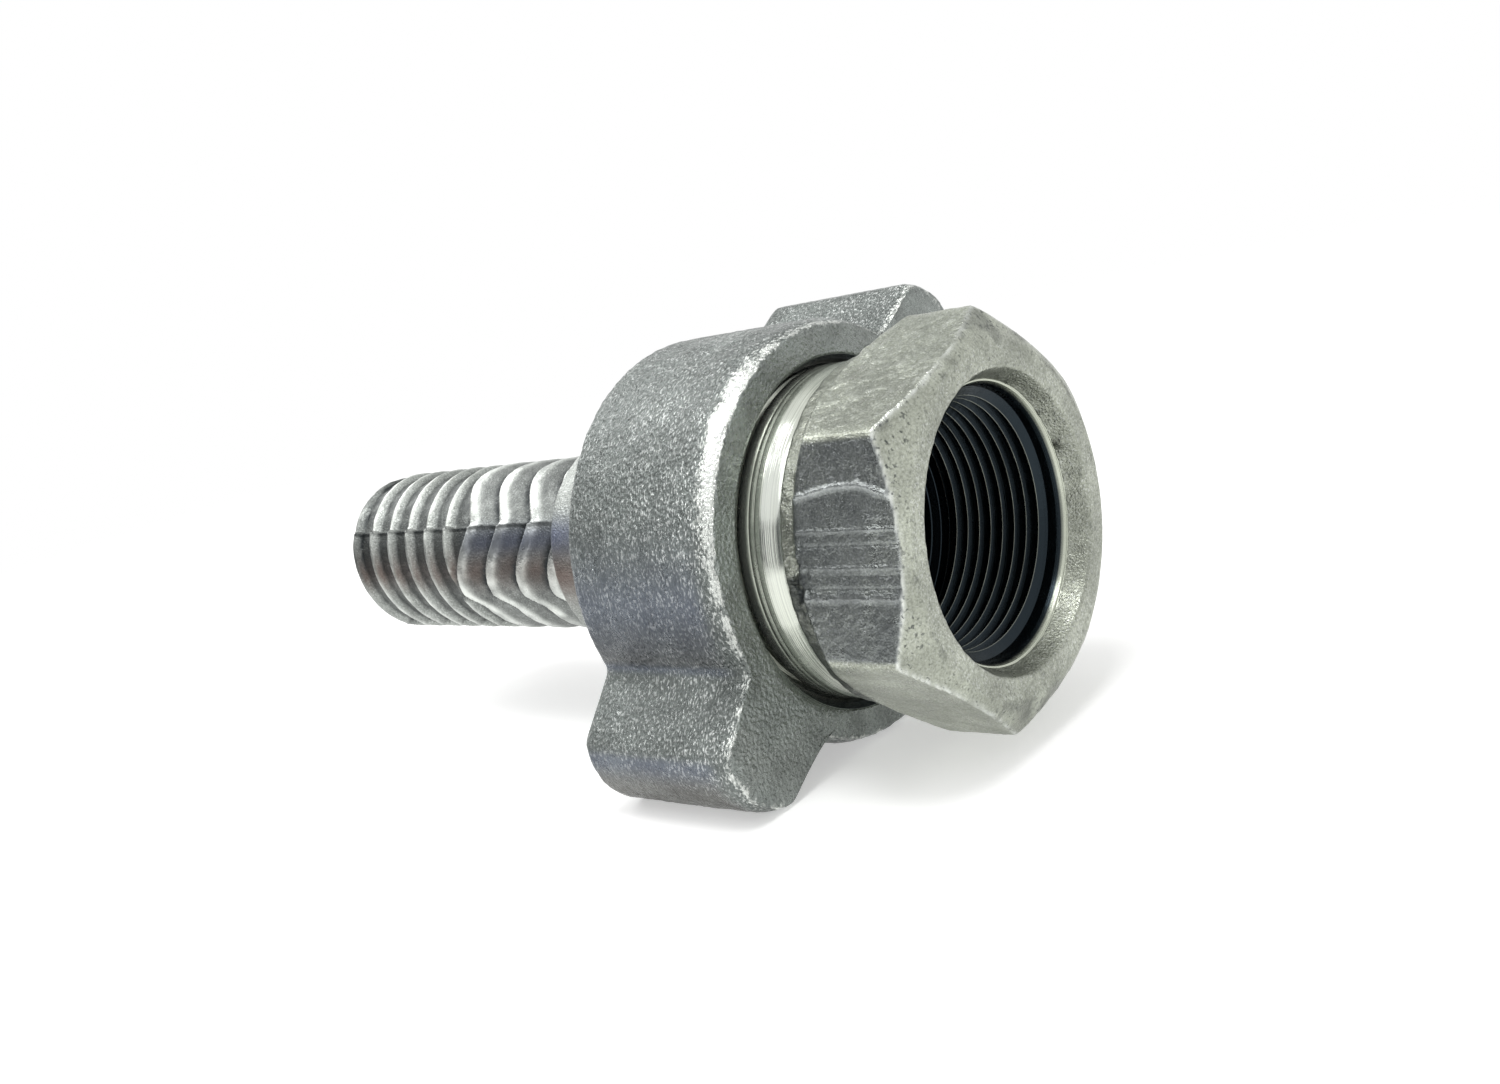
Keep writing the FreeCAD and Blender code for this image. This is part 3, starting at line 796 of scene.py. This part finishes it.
class COUPLING_OT_nut(bpy.types.Operator):
    """Build the sand cast wing nut"""

    bl_idname = "coupling.make_nut"
    bl_label = "Wing nut"

    def execute(self, context):
        finish = context.scene.coupling_finish
        points, fields = nut_shape(context.scene.coupling_nut)
        metal = plated_metal(
            "cast nut zinc", tuple(finish.casting), tuple(finish.soil_and_shade),
            grain_mm=0.62, bump_mm=0.50, rough=0.28, contrast=0.22, glint_strength=0.72, glint_mm=0.66,
            draw=2.0, ragged=1.4,
        )
        piece = closed_skin("nut_casting", points, fields, metal)
        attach(piece, "nut")
        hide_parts("wing_nut")
        return {"FINISHED"}


# Pipe end

# Places of the two domes' centres on the axis, and the radius to which the hexagon's corners are cut.
FRONT_CENTRE = -45.2
REAR_CENTRE = 21.9
CORNER_RADIUS = 32.9

# Depths of the thread's root and of the polished taper under the barrel.
THREAD_ROOT = 1.4
TAPER_DEPTH = 0.85

# Sheared ridges and grooves on the flat that faces the camera, as distance from its middle, height and width.
SHEAR_MARKS = (
    (-3.1, 0.17, 0.32), (-0.9, -0.16, 0.35), (2.2, 0.17, 0.35), (3.4, -0.10, 0.4), (6.5, 0.20, 0.6),
    (5.2, -0.12, 0.3),
)
# The painted highlights on the crests of the ridges, in the same way.
CREST_HIGHLIGHTS = ((-3.1, 0.3, 0.3), (2.2, 0.3, 0.3), (6.5, 0.45, 0.5))


def bells(value, marks):
    """Several bells added up, each given as its centre, height and width."""
    return sum(height * bell(value, centre, width) for centre, height, width in marks)


def barrel_section(barrel):
    """Section of the barrel, from the seat ring's pocket round the inner end to the neck."""
    root = barrel - THREAD_ROOT
    taper = barrel - TAPER_DEPTH
    return section(
        [(SEAT_FLOOR, SEAT_POCKET, 0.2), (SPUD_BACK, SEAT_POCKET, 0.3), (SPUD_BACK, root, 0.6),
         (-27.6, root, 0.4), (-26.2, barrel, 0.4), (-24.1, barrel, 0),
         (-23.9, barrel - 0.1, 0.06), (-23.7, barrel, 0.06),
         (-23.0, barrel, 0), (-22.8, barrel - 0.08, 0.06), (-22.6, barrel, 0.06), (-21.6, barrel, 0.3),
         (-18.9, taper, 0.3), (-18.2, taper, 0.1), (NECK_BACK, barrel - 0.1, 0.2)],
        1.1,
    )


def mouth_section():
    """Section of the mouth, from the front face through the recess and the threaded bore to the seat ring."""
    return section(
        [(SPUD_FRONT, 27.0, 0), (SPUD_FRONT, 23.2, 0.5), (RECESS_FLOOR, 21.75, 0.25),
         (RECESS_FLOOR, 21.5, 0.1), (0.0, 20.95, 0.15), (THREAD_END, 20.3, 0.3), (THREAD_END, WATERWAY, 0.4),
         (SEAT_FLOOR, WATERWAY, 0.3), (SEAT_FLOOR, SEAT_POCKET, 0.2)],
        0.9,
    )[1:-1]


def spud_shape(settings):
    """Points and fields of the pipe end."""
    # Columns lie closer on the flat that faces the camera and on the one above it.
    half = math.radians(30)
    count = settings.columns
    dense, top = round(count * 0.32), round(count * 0.20)
    from_front = np.concatenate([
        np.linspace(-3 * half, -half, top, endpoint=False),
        np.linspace(-half, half, dense, endpoint=False),
        np.linspace(half, TURN - 3 * half, count - dense - top, endpoint=False),
    ])
    angle = from_front + math.radians(FLAT)

    # Rows are the barrel's (part 0), the hexagon's (part 1) and the mouth's (part 2).
    back = barrel_section(settings.barrel / MM)
    hexagon = np.linspace(NECK_BACK, SPUD_FRONT, 66)
    mouth = mouth_section()
    x = np.concatenate([back[:, 0], hexagon, mouth[:, 0]])[:, None]
    lathe = np.concatenate([back[:, 1], 0 * hexagon, mouth[:, 1]])[:, None]
    part = np.repeat([0, 1, 2], [len(back), len(hexagon), len(mouth)])[:, None]
    places = x + np.zeros(count)
    shape = places.shape

    # The hexagon with cut corners between two domes, and the forged neck behind it.
    from_flat = (from_front + half) % (2 * half) - half
    flats = settings.apothem / MM / np.cos(from_flat)[None, :]
    flats = soft_min(flats, np.full_like(flats, CORNER_RADIUS), 0.9)
    front, rear = settings.front_dome / MM, settings.back_dome / MM
    front_dome = np.sqrt(front**2 - (hexagon - FRONT_CENTRE) ** 2)[:, None]
    rear_dome = np.sqrt(np.clip(rear**2 - (hexagon - REAR_CENTRE) ** 2, SPUD_NECK**2, None))[:, None]
    domed_hexagon = soft_min(soft_min(flats + 0 * front_dome, front_dome, 0.4), rear_dome, 0.6)
    neck = SPUD_NECK - 0.5 * ramp(-16.9, NECK_BACK, hexagon)[:, None]
    body = np.where((hexagon < HEX_BACK)[:, None], neck, domed_hexagon)
    radius = lathe + in_rows(shape, len(back), body)
    rim_line = in_rows(shape, len(back), bell(flats - front_dome, 0.0, 0.35))
    on_flat = in_rows(shape, len(back), ramp(-0.05, 0.3, front_dome - flats))
    turn = angle[None, :] + 0 * places
    flat = about_axis(places, radius, turn)

    # Regions: the skin of the forging, the neck, the flat facing the camera, the one above, and the dome.
    forged = (part == 1) * 1.0 + np.zeros(count)
    ahead = forged * (places > HEX_BACK)
    on_neck = forged * (places < HEX_BACK + 0.2)
    around = np.degrees(from_front)[None, :]
    cross = radius * np.sin(from_flat)[None, :]
    facing = (np.abs(wrap(from_front)) < half * 0.985)[None, :] * ahead * on_flat
    facing = facing * ramp(15.9, 15.2, np.abs(cross))
    on_top = ahead * on_flat * ramp(-88, -86, around) * ramp(-32, -34, around)
    domed = ahead * (1 - on_flat) * ramp(-6, -3, places)
    recess = (part == 2) * (places > 1.6) * (radius > 21.6)
    polished = (part == 0) * ramp(-22.0, -21.2, places) * ramp(-18.2, -18.6, places)

    # Sheared ridges on the facing flat, pebbles on the top one, the torn patch by the neck and the burr.
    lip = -9.3 + np.where(places < -4, 0.018, 0.035) * (places + 4) ** 2 + 0.15 * grain(flat, 1.7, 35)
    strokes = ramp(0.25, 0.5, grain(flat * np.array([2.4, 1.0, 1.0]), 1.3, 36))
    sheared = ramp(0.1, 0.7, cross - lip) * ramp(8.8, 7.4, cross)
    short_ridge = 0.10 * bell(cross, -4.8, 0.3) * ramp(-2.5, -0.5, places)
    trim = 0.26 * bell(cross, lip, 0.5) + short_ridge + bells(cross, SHEAR_MARKS)
    bands = facing * (trim - 0.14 * sheared + (0.10 - 0.05 * sheared) * grain(flat, 0.62, 26))
    knobs = ramp(-0.1, 0.6, grain(flat, 0.7, 33))
    bands = bands + on_top * (0.12 * knobs + 0.07 * grain(flat, 2.4, 34))
    beside = (np.abs(wrap(from_front)) < half)[None, :]
    torn = forged * beside * bell(cross, 3.8, 4.2) * bell(places, -14.6, 1.9)
    chipped = facing * ramp(-1.5, 0.5, cross) * rim_line
    wild = torn * (0.30 + 0.9 * grain(flat, 0.8, 24)).clip(-0.2, 1.2)
    wild = wild + 0.28 * chipped * grain(flat, 0.7, 27).clip(0, 1)
    burr = recess * bell(wrap(turn - math.radians(17)), 0.0, 0.035) * bell(places, 3.0, 0.9)
    scrape = recess * 0.10 * grain(flat * np.array([0.25, 1.0, 1.0]), 1.1, 28)
    rough = forged * (0.05 * grain(flat, 0.8, 21) + 0.06 * grain(flat, 2.4, 22))
    relief = rough + on_neck * 0.12 * grain(flat, 1.3, 23) + bands - wild - 0.8 * burr + scrape
    shaped = radius + relief

    scratches = 0.85 + 0.3 * grain(flat * np.array([5.0, 0.12, 0.12]), 1.0, 37)
    # A painted highlight: a bright band on the polished taper, strongest at one angle round the axis.
    taper_highlight = 0.65 * polished * (0.25 + 0.75 * bell(around, -16, 24)) * scratches
    # Painted highlights on the lip and the ridges' crests of the flat facing the camera.
    crest_highlights = facing * (
        0.35 * bell(cross, lip, 0.45) + bells(cross, CREST_HIGHLIGHTS)
        + 0.5 * bell(cross, lip - 1.6, 1.2) * strokes
    )
    smudges = ramp(0.15, 0.55, grain(flat, 4.2, 31) + 0.35 * grain(flat, 1.4, 32))
    rim = (part == 1) * ramp(-3.0, 3.0, places) * ramp(26.0, 30.5, shaped)
    fields = {
        # Wear, with painted highlights on the chamfer's rim line, the top flat's knobs, the taper and the
        # facing flat's crests.
        "wear_and_highlight": (
            rim_line * (0.75 + 0.6 * grain(flat, 1.0, 29)) + 0.15 * on_top * knobs + crest_highlights
            + 0.2 * (part == 0) * ramp(-27, -25.5, places) + taper_highlight
        ).clip(0, 1),
        "soiled_and_shaded": (
            # Painted shade: the flat facing the camera is darkened to stand for its dark reflection.
            0.50 * facing * (1 - 0.8 * bell(cross, lip, 0.5)) + 0.15 * recess
            + 0.6 * torn * (0.6 + 0.8 * grain(flat, 0.9, 24)) + on_neck * (0.3 + 0.5 * ramp(2, 14, around))
            + 0.45 * domed * smudges + 0.18 * on_top * (1 - knobs)
        ).clip(0, 1),
        "pitted": (
            0.8 * rim * domed * (0.6 + 0.7 * grain(flat, 4.0, 39)) + 0.2 * (domed + recess)
        ).clip(0, 1),
        "turned": ((part == 0) | ((part == 2) & (places < 1.6))) * 1.0,
        # Painted shade: the threaded bore darkens inwards.
        "deep": (part == 2) * ramp(1.2, 0.2, places) * 0.97,
        # Painted reflection: the flat facing the camera is tinted blue.
        "blue": 0.30 * facing,
        "glint_damping": 0.5 * domed,
        "pale": 0.45 * domed * bell(shaped, 24.2, 1.3) * (0.6 + 0.6 * grain(flat, 4.0, 38)),
    }
    return about_axis(places, shaped, turn), fields


class COUPLING_OT_spud(bpy.types.Operator):
    """Build the hexagonal pipe end and finish its seat ring"""

    bl_idname = "coupling.make_spud"
    bl_label = "Pipe end"

    def execute(self, context):
        finish = context.scene.coupling_finish
        points, fields = spud_shape(context.scene.coupling_spud)
        metal = plated_metal(
            "forged pipe end zinc", tuple(finish.spud), tuple(finish.soil_and_shade),
            grain_mm=0.40, bump_mm=0.09, rough=0.34, contrast=0.24, glint_strength=0.45, glint_mm=0.30,
        )
        piece = closed_skin("spud_forging", points, fields, metal)
        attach(piece, "spud")
        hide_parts("pipe_spud")

        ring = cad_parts["seat_ring"]
        ring.data.materials.clear()
        ring.data.materials.append(copper_metal("seat copper", tuple(finish.copper)))
        return {"FINISHED"}


# Threads


def thread_tree():
    """Geometry nodes for one screw thread: a ridge swept along a helix about X, faded at both ends."""
    tree = bpy.data.node_groups.new("screw thread", "GeometryNodeTree")
    tree.interface.new_socket("Geometry", in_out="OUTPUT", socket_type="NodeSocketGeometry")
    numbers = (
        "Start", "Pitch", "Turns", "Foot radius", "End foot radius", "Height", "Foot width", "Crest width",
        "Fade",
    )
    kinds = {name: "NodeSocketFloat" for name in numbers}
    kinds["Steps a turn"] = "NodeSocketInt"
    kinds["Material"] = "NodeSocketMaterial"
    for name, kind in kinds.items():
        tree.interface.new_socket(name, in_out="INPUT", socket_type=kind)
    given = tree.nodes.new("NodeGroupInput").outputs
    result = tree.nodes.new("NodeGroupOutput")
    spiral = add(tree, "GeometryNodeCurveSpiral", {
        "Resolution": given["Steps a turn"], "Rotations": given["Turns"],
        "Start Radius": given["Foot radius"], "End Radius": given["End foot radius"],
        "Height": times(tree, given["Turns"], given["Pitch"]), "Reverse": True,
    })
    upright = add(tree, "GeometryNodeSetCurveNormal", {"Curve": spiral.outputs[0]}, mode="Z_UP")
    along = add(tree, "GeometryNodeSplineParameter").outputs["Factor"]
    to_end = maths(tree, "MINIMUM", along, minus(tree, 1.0, along))
    fade = maths(tree, "DIVIDE", times(tree, to_end, given["Turns"]), given["Fade"], clamp=True)
    size = maths(tree, "MAXIMUM", fade, 0.03)
    half_foot = times(tree, given["Foot width"], 0.5)
    half_crest = times(tree, given["Crest width"], 0.5)
    corners = {}
    edges = ((1, half_foot, 0.0), (1, half_crest, 1.0), (-1, half_crest, 1.0), (-1, half_foot, 0.0))
    for side, width, height in edges:
        corner = {0: times(tree, given["Height"], height), 1: times(tree, width, side)}
        corners[f"Point {len(corners) + 1}"] = add(tree, "ShaderNodeCombineXYZ", corner).outputs[0]
    outline = add(tree, "GeometryNodeCurvePrimitiveQuadrilateral", corners, mode="POINTS")
    ridge = add(tree, "GeometryNodeCurveToMesh", {
        "Curve": upright.outputs[0], "Profile Curve": outline.outputs[0], "Scale": size, "Fill Caps": True,
    })
    shift = add(tree, "ShaderNodeCombineXYZ", {0: given["Start"]}).outputs[0]
    placing = {"Geometry": ridge.outputs[0], "Translation": shift, "Rotation": (0, math.pi / 2, 0)}
    laid = add(tree, "GeometryNodeTransform", placing)
    plain = add(tree, "GeometryNodeSetShadeSmooth", {"Geometry": laid.outputs[0], "Shade Smooth": False})
    solid = add(tree, "GeometryNodeRealizeInstances", {"Geometry": plain.outputs[0]})
    done = add(tree, "GeometryNodeSetMaterial", {"Geometry": solid.outputs[0], "Material": given["Material"]})
    tree.links.new(done.outputs[0], result.inputs[0])
    return tree


def enclosed(mesh):
    """Six times the signed volume of a closed mesh: positive where its faces point outwards."""
    mesh.calc_loop_triangles()
    corners = np.empty(len(mesh.loop_triangles) * 3, np.int32)
    mesh.loop_triangles.foreach_get("vertices", corners)
    places = np.empty(len(mesh.vertices) * 3, np.float32)
    mesh.vertices.foreach_get("co", places)
    a, b, c = places.reshape(-1, 3)[corners].astype(float).reshape(-1, 3, 3).transpose(1, 0, 2)
    return float((a * np.cross(b, c)).sum())


def make_thread(name, tree, values, fields):
    """Run the thread tree and keep the result as a plain mesh; fields give each value at foot and crest."""
    holder = bpy.data.objects.new(name, bpy.data.meshes.new(name))
    bpy.context.scene.collection.objects.link(holder)
    modifier = holder.modifiers.new("screw thread", "NODES")
    modifier.node_group = tree
    sockets = {item.name: item.identifier for item in tree.interface.items_tree if item.in_out == "INPUT"}
    for key, value in values.items():
        modifier[sockets[key]] = value
    graph = bpy.context.evaluated_depsgraph_get()
    mesh = bpy.data.meshes.new_from_object(holder.evaluated_get(graph))
    holder.modifiers.remove(modifier)
    holder.data = mesh
    mesh.name = name
    if not len(mesh.polygons):
        raise RuntimeError(name + " has no faces")
    on_crest = np.isin(np.arange(len(mesh.vertices)) % 4, (1, 2))
    paint(mesh, {label: np.where(on_crest, crest, foot) for label, (foot, crest) in fields.items()})
    if enclosed(mesh) < 0:
        mesh.flip_normals()
    return holder


class COUPLING_OT_threads(bpy.types.Operator):
    """Sweep the pipe thread and the thread between nut and pipe end"""

    bl_idname = "coupling.make_threads"
    bl_label = "Threads"

    def execute(self, context):
        settings = context.scene.coupling_thread
        tree = thread_tree()
        spud_metal = bpy.data.materials["forged pipe end zinc"]
        nut_metal = bpy.data.materials["cast nut zinc"]
        # Values at foot and crest. The pipe thread inside the bore is painted dark as shade, and the crests'
        # wear also stands in for painted highlights.
        dark = {"turned": (1.0, 1.0), "soiled_and_shaded": (1.0, 0.2), "wear_and_highlight": (0.0, 0.1), "deep": (5.0, 0.32)}
        open_marks = {"turned": (1.0, 1.0), "soiled_and_shaded": (0.4, 0.1), "wear_and_highlight": (0.0, 0.3), "deep": (0.2, 0.0)}
        joining = {
            "Pitch": settings.nut_pitch, "Foot width": 2.2 * MM, "Crest width": 0.4 * MM, "Fade": 0.5,
            "Steps a turn": settings.steps,
        }
        spud = make_thread("spud_thread", tree, {
            **joining, "Start": (SPUD_BACK + 1.3) * MM, "Turns": 5.9, "Foot radius": 25.75 * MM,
            "End foot radius": 25.75 * MM, "Height": 1.52 * MM, "Material": spud_metal,
        }, open_marks)
        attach(spud, "spud")
        pipe = make_thread("pipe_thread", tree, {
            "Start": -20.6 * MM, "Pitch": settings.pipe_pitch, "Turns": 9.0, "Foot radius": 20.5 * MM,
            "End foot radius": 21.1 * MM, "Height": -1.6 * MM, "Foot width": 2.15 * MM,
            "Crest width": 0.12 * MM, "Steps a turn": settings.steps, "Fade": 0.6, "Material": spud_metal,
        }, dark)
        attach(pipe, "spud")
        nut = make_thread("nut_thread", tree, {
            **joining, "Start": -49.5 * MM, "Turns": 8.4, "Foot radius": 27.55 * MM,
            "End foot radius": 27.55 * MM, "Height": -1.5 * MM, "Material": nut_metal,
        }, open_marks)
        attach(nut, "nut")
        return {"FINISHED"}


# Stage

# The camera as fitted to the photo: its place in metres, and its directions to the right and upwards.
EYE = (0.11439, -0.17284, 0.05254)
EYE_RIGHT = (0.74259, 0.62594, -0.23825)
EYE_UP = (0.03050, 0.32377, 0.94565)
FLOOR_SIDES = 96


def place_facing(item, place, aim):
    """Link an object to the scene, put it at its place and turn it towards its aim."""
    item.location = place
    item.rotation_euler = (Vector(aim) - Vector(place)).to_track_quat("-Z", "Y").to_euler()
    bpy.context.scene.collection.objects.link(item)


def lamp(name, place, aim, size, power):
    """A soft rectangular lamp, placed and aimed in metres."""
    data = bpy.data.lights.new(name, "AREA")
    data.shape = "RECTANGLE"
    data.size, data.size_y = size
    data.energy = power
    place_facing(bpy.data.objects.new(name, data), place, aim)


def card(name, place, aim, size, colour):
    """A dark or pale card that only reflections see."""
    w, h = size[0] / 2, size[1] / 2
    mesh = bpy.data.meshes.new(name)
    mesh.from_pydata([(-w, -h, 0), (w, -h, 0), (w, h, 0), (-w, h, 0)], [], [(0, 1, 2, 3)])
    item = bpy.data.objects.new(name, mesh)
    place_facing(item, place, aim)
    material = bpy.data.materials.new(name)
    tree = cleared(material)
    glow = add(tree, "ShaderNodeEmission", {"Color": (*colour, 1.0), "Strength": 1.0})
    add(tree, "ShaderNodeOutputMaterial", {0: glow.outputs[0]})
    mesh.materials.append(material)
    for rays in ("camera", "diffuse", "shadow", "transmission", "volume_scatter"):
        setattr(item, "visible_" + rays, False)


class COUPLING_OT_stage(bpy.types.Operator):
    """Set up the camera, the floor, the lamps and the white surround"""

    bl_idname = "coupling.make_stage"
    bl_label = "Stage"

    def execute(self, context):
        settings = context.scene.coupling_stage
        scene = context.scene
        scene.view_settings.view_transform = "Standard"
        self.camera(scene, settings)
        self.floor(settings)
        self.surround(scene, settings)
        lamp("key", (0.04, -0.14, 0.60), (-0.03, 0.0, 0.0), (0.24, 0.24), settings.key_light)
        lamp("side", (-0.35, -0.27, 0.44), (-0.02, 0.0, 0.0), (0.26, 0.32), settings.side_light)
        lamp("fill", (-0.55, 0.08, 0.34), (-0.06, 0.0, 0.0), (0.30, 0.30), settings.fill_light)
        card("left card", (-0.52, -0.50, 0.05), (-0.02, 0.0, 0.03), (1.0, 0.58), (0.045, 0.05, 0.055))
        card("back card", (-0.36, 0.34, 0.52), (-0.02, 0.0, 0.0), (0.50, 0.34), (0.62, 0.64, 0.62))
        return {"FINISHED"}

    def camera(self, scene, settings):
        """Put the camera where the photo was taken from."""
        data = bpy.data.cameras.new("camera")
        data.lens = settings.lens
        data.sensor_width = 36.0
        data.sensor_fit = "HORIZONTAL"
        eye = bpy.data.objects.new("camera", data)
        right = Vector(EYE_RIGHT)
        back = right.cross(Vector(EYE_UP)).normalized()
        up = back.cross(right).normalized()
        turned = Matrix((right.normalized(), up, back)).transposed().to_4x4()
        eye.matrix_world = Matrix.Translation(EYE) @ turned
        scene.collection.objects.link(eye)
        scene.camera = eye

    def floor(self, settings):
        """Lay a pale floor that fades into the white surround at its rim and keeps the coupling's shadow."""
        low = CAD_BOX[0][2]
        half = settings.floor_width / 2
        turns = np.linspace(0, TURN, FLOOR_SIDES + 1)[:-1]
        rim = [(half * math.cos(a), half * math.sin(a), low) for a in turns]
        mesh = bpy.data.meshes.new("floor")
        mesh.from_pydata(rim, [], [tuple(range(FLOOR_SIDES))])
        item = bpy.data.objects.new("floor", mesh)
        bpy.context.scene.collection.objects.link(item)
        material = bpy.data.materials.new("pale floor")
        tree = cleared(material)
        place = add(tree, "ShaderNodeTexCoord").outputs["Object"]
        away = add(tree, "ShaderNodeVectorMath", {0: place}, operation="LENGTH").outputs["Value"]
        fade = between(tree, away, 0.28, half * 0.9)
        paint_coat = add(tree, "ShaderNodeBsdfDiffuse", {"Color": (0.86, 0.86, 0.855, 1)}).outputs[0]
        glow = add(tree, "ShaderNodeEmission", {"Color": (1, 1, 1, 1), "Strength": 0.42}).outputs[0]
        lit = add(tree, "ShaderNodeAddShader", {0: paint_coat, 1: glow}).outputs[0]
        floor = add(tree, "ShaderNodeMixShader", {0: shown(tree), 1: paint_coat, 2: lit}).outputs[0]
        clear = add(tree, "ShaderNodeBsdfTransparent").outputs[0]
        both = add(tree, "ShaderNodeMixShader", {0: fade, 1: floor, 2: clear})
        add(tree, "ShaderNodeOutputMaterial", {0: both.outputs[0]})
        mesh.materials.append(material)

    def surround(self, scene, settings):
        """Light the scene evenly from all around, and show white to the camera and to reflections."""
        scene.world = bpy.data.worlds.new("surround")
        tree = cleared(scene.world)
        strength = between(tree, shown(tree), 0.0, 1.0, settings.surround, 1.0)
        light = add(tree, "ShaderNodeBackground", {"Color": (1, 1, 1, 1), "Strength": strength})
        add(tree, "ShaderNodeOutputWorld", {0: light.outputs[0]})


# Panel and registration


class COUPLING_PT_panel(bpy.types.Panel):
    """Buttons and sizes of the coupling"""

    bl_label = "Hose coupling"
    bl_idname = "COUPLING_PT_panel"
    bl_space_type = "VIEW_3D"
    bl_region_type = "UI"
    bl_category = "Coupling"

    def draw(self, context):
        layout = self.layout
        for operator in OPERATORS:
            layout.operator(operator.bl_idname)
        for name, group in GROUPS.items():
            box = layout.box()
            box.label(text=group.__doc__)
            for key in group.__annotations__:
                box.prop(getattr(context.scene, name), key)


GROUPS = {
    "coupling_stage": StageSettings,
    "coupling_stem": StemSettings,
    "coupling_nut": NutSettings,
    "coupling_spud": SpudSettings,
    "coupling_thread": ThreadSettings,
    "coupling_finish": FinishSettings,
}
OPERATORS = (
    COUPLING_OT_stage, COUPLING_OT_stem, COUPLING_OT_nut, COUPLING_OT_spud, COUPLING_OT_threads,
)


def register():
    """Register the classes and hang the settings on the scene."""
    for name, group in GROUPS.items():
        bpy.utils.register_class(group)
        setattr(bpy.types.Scene, name, PointerProperty(type=group))
    for item in (*OPERATORS, COUPLING_PT_panel):
        bpy.utils.register_class(item)


def unregister():
    """Take the classes and settings away again."""
    for item in (COUPLING_PT_panel, *reversed(OPERATORS)):
        bpy.utils.unregister_class(item)
    for name, group in reversed(list(GROUPS.items())):
        delattr(bpy.types.Scene, name)
        bpy.utils.unregister_class(group)


def main():
    """Build the whole scene."""
    register()
    bpy.ops.coupling.make_stage()
    bpy.ops.coupling.make_stem()
    bpy.ops.coupling.make_nut()
    bpy.ops.coupling.make_spud()
    bpy.ops.coupling.make_threads()


if __name__ == "__main__":
    main()
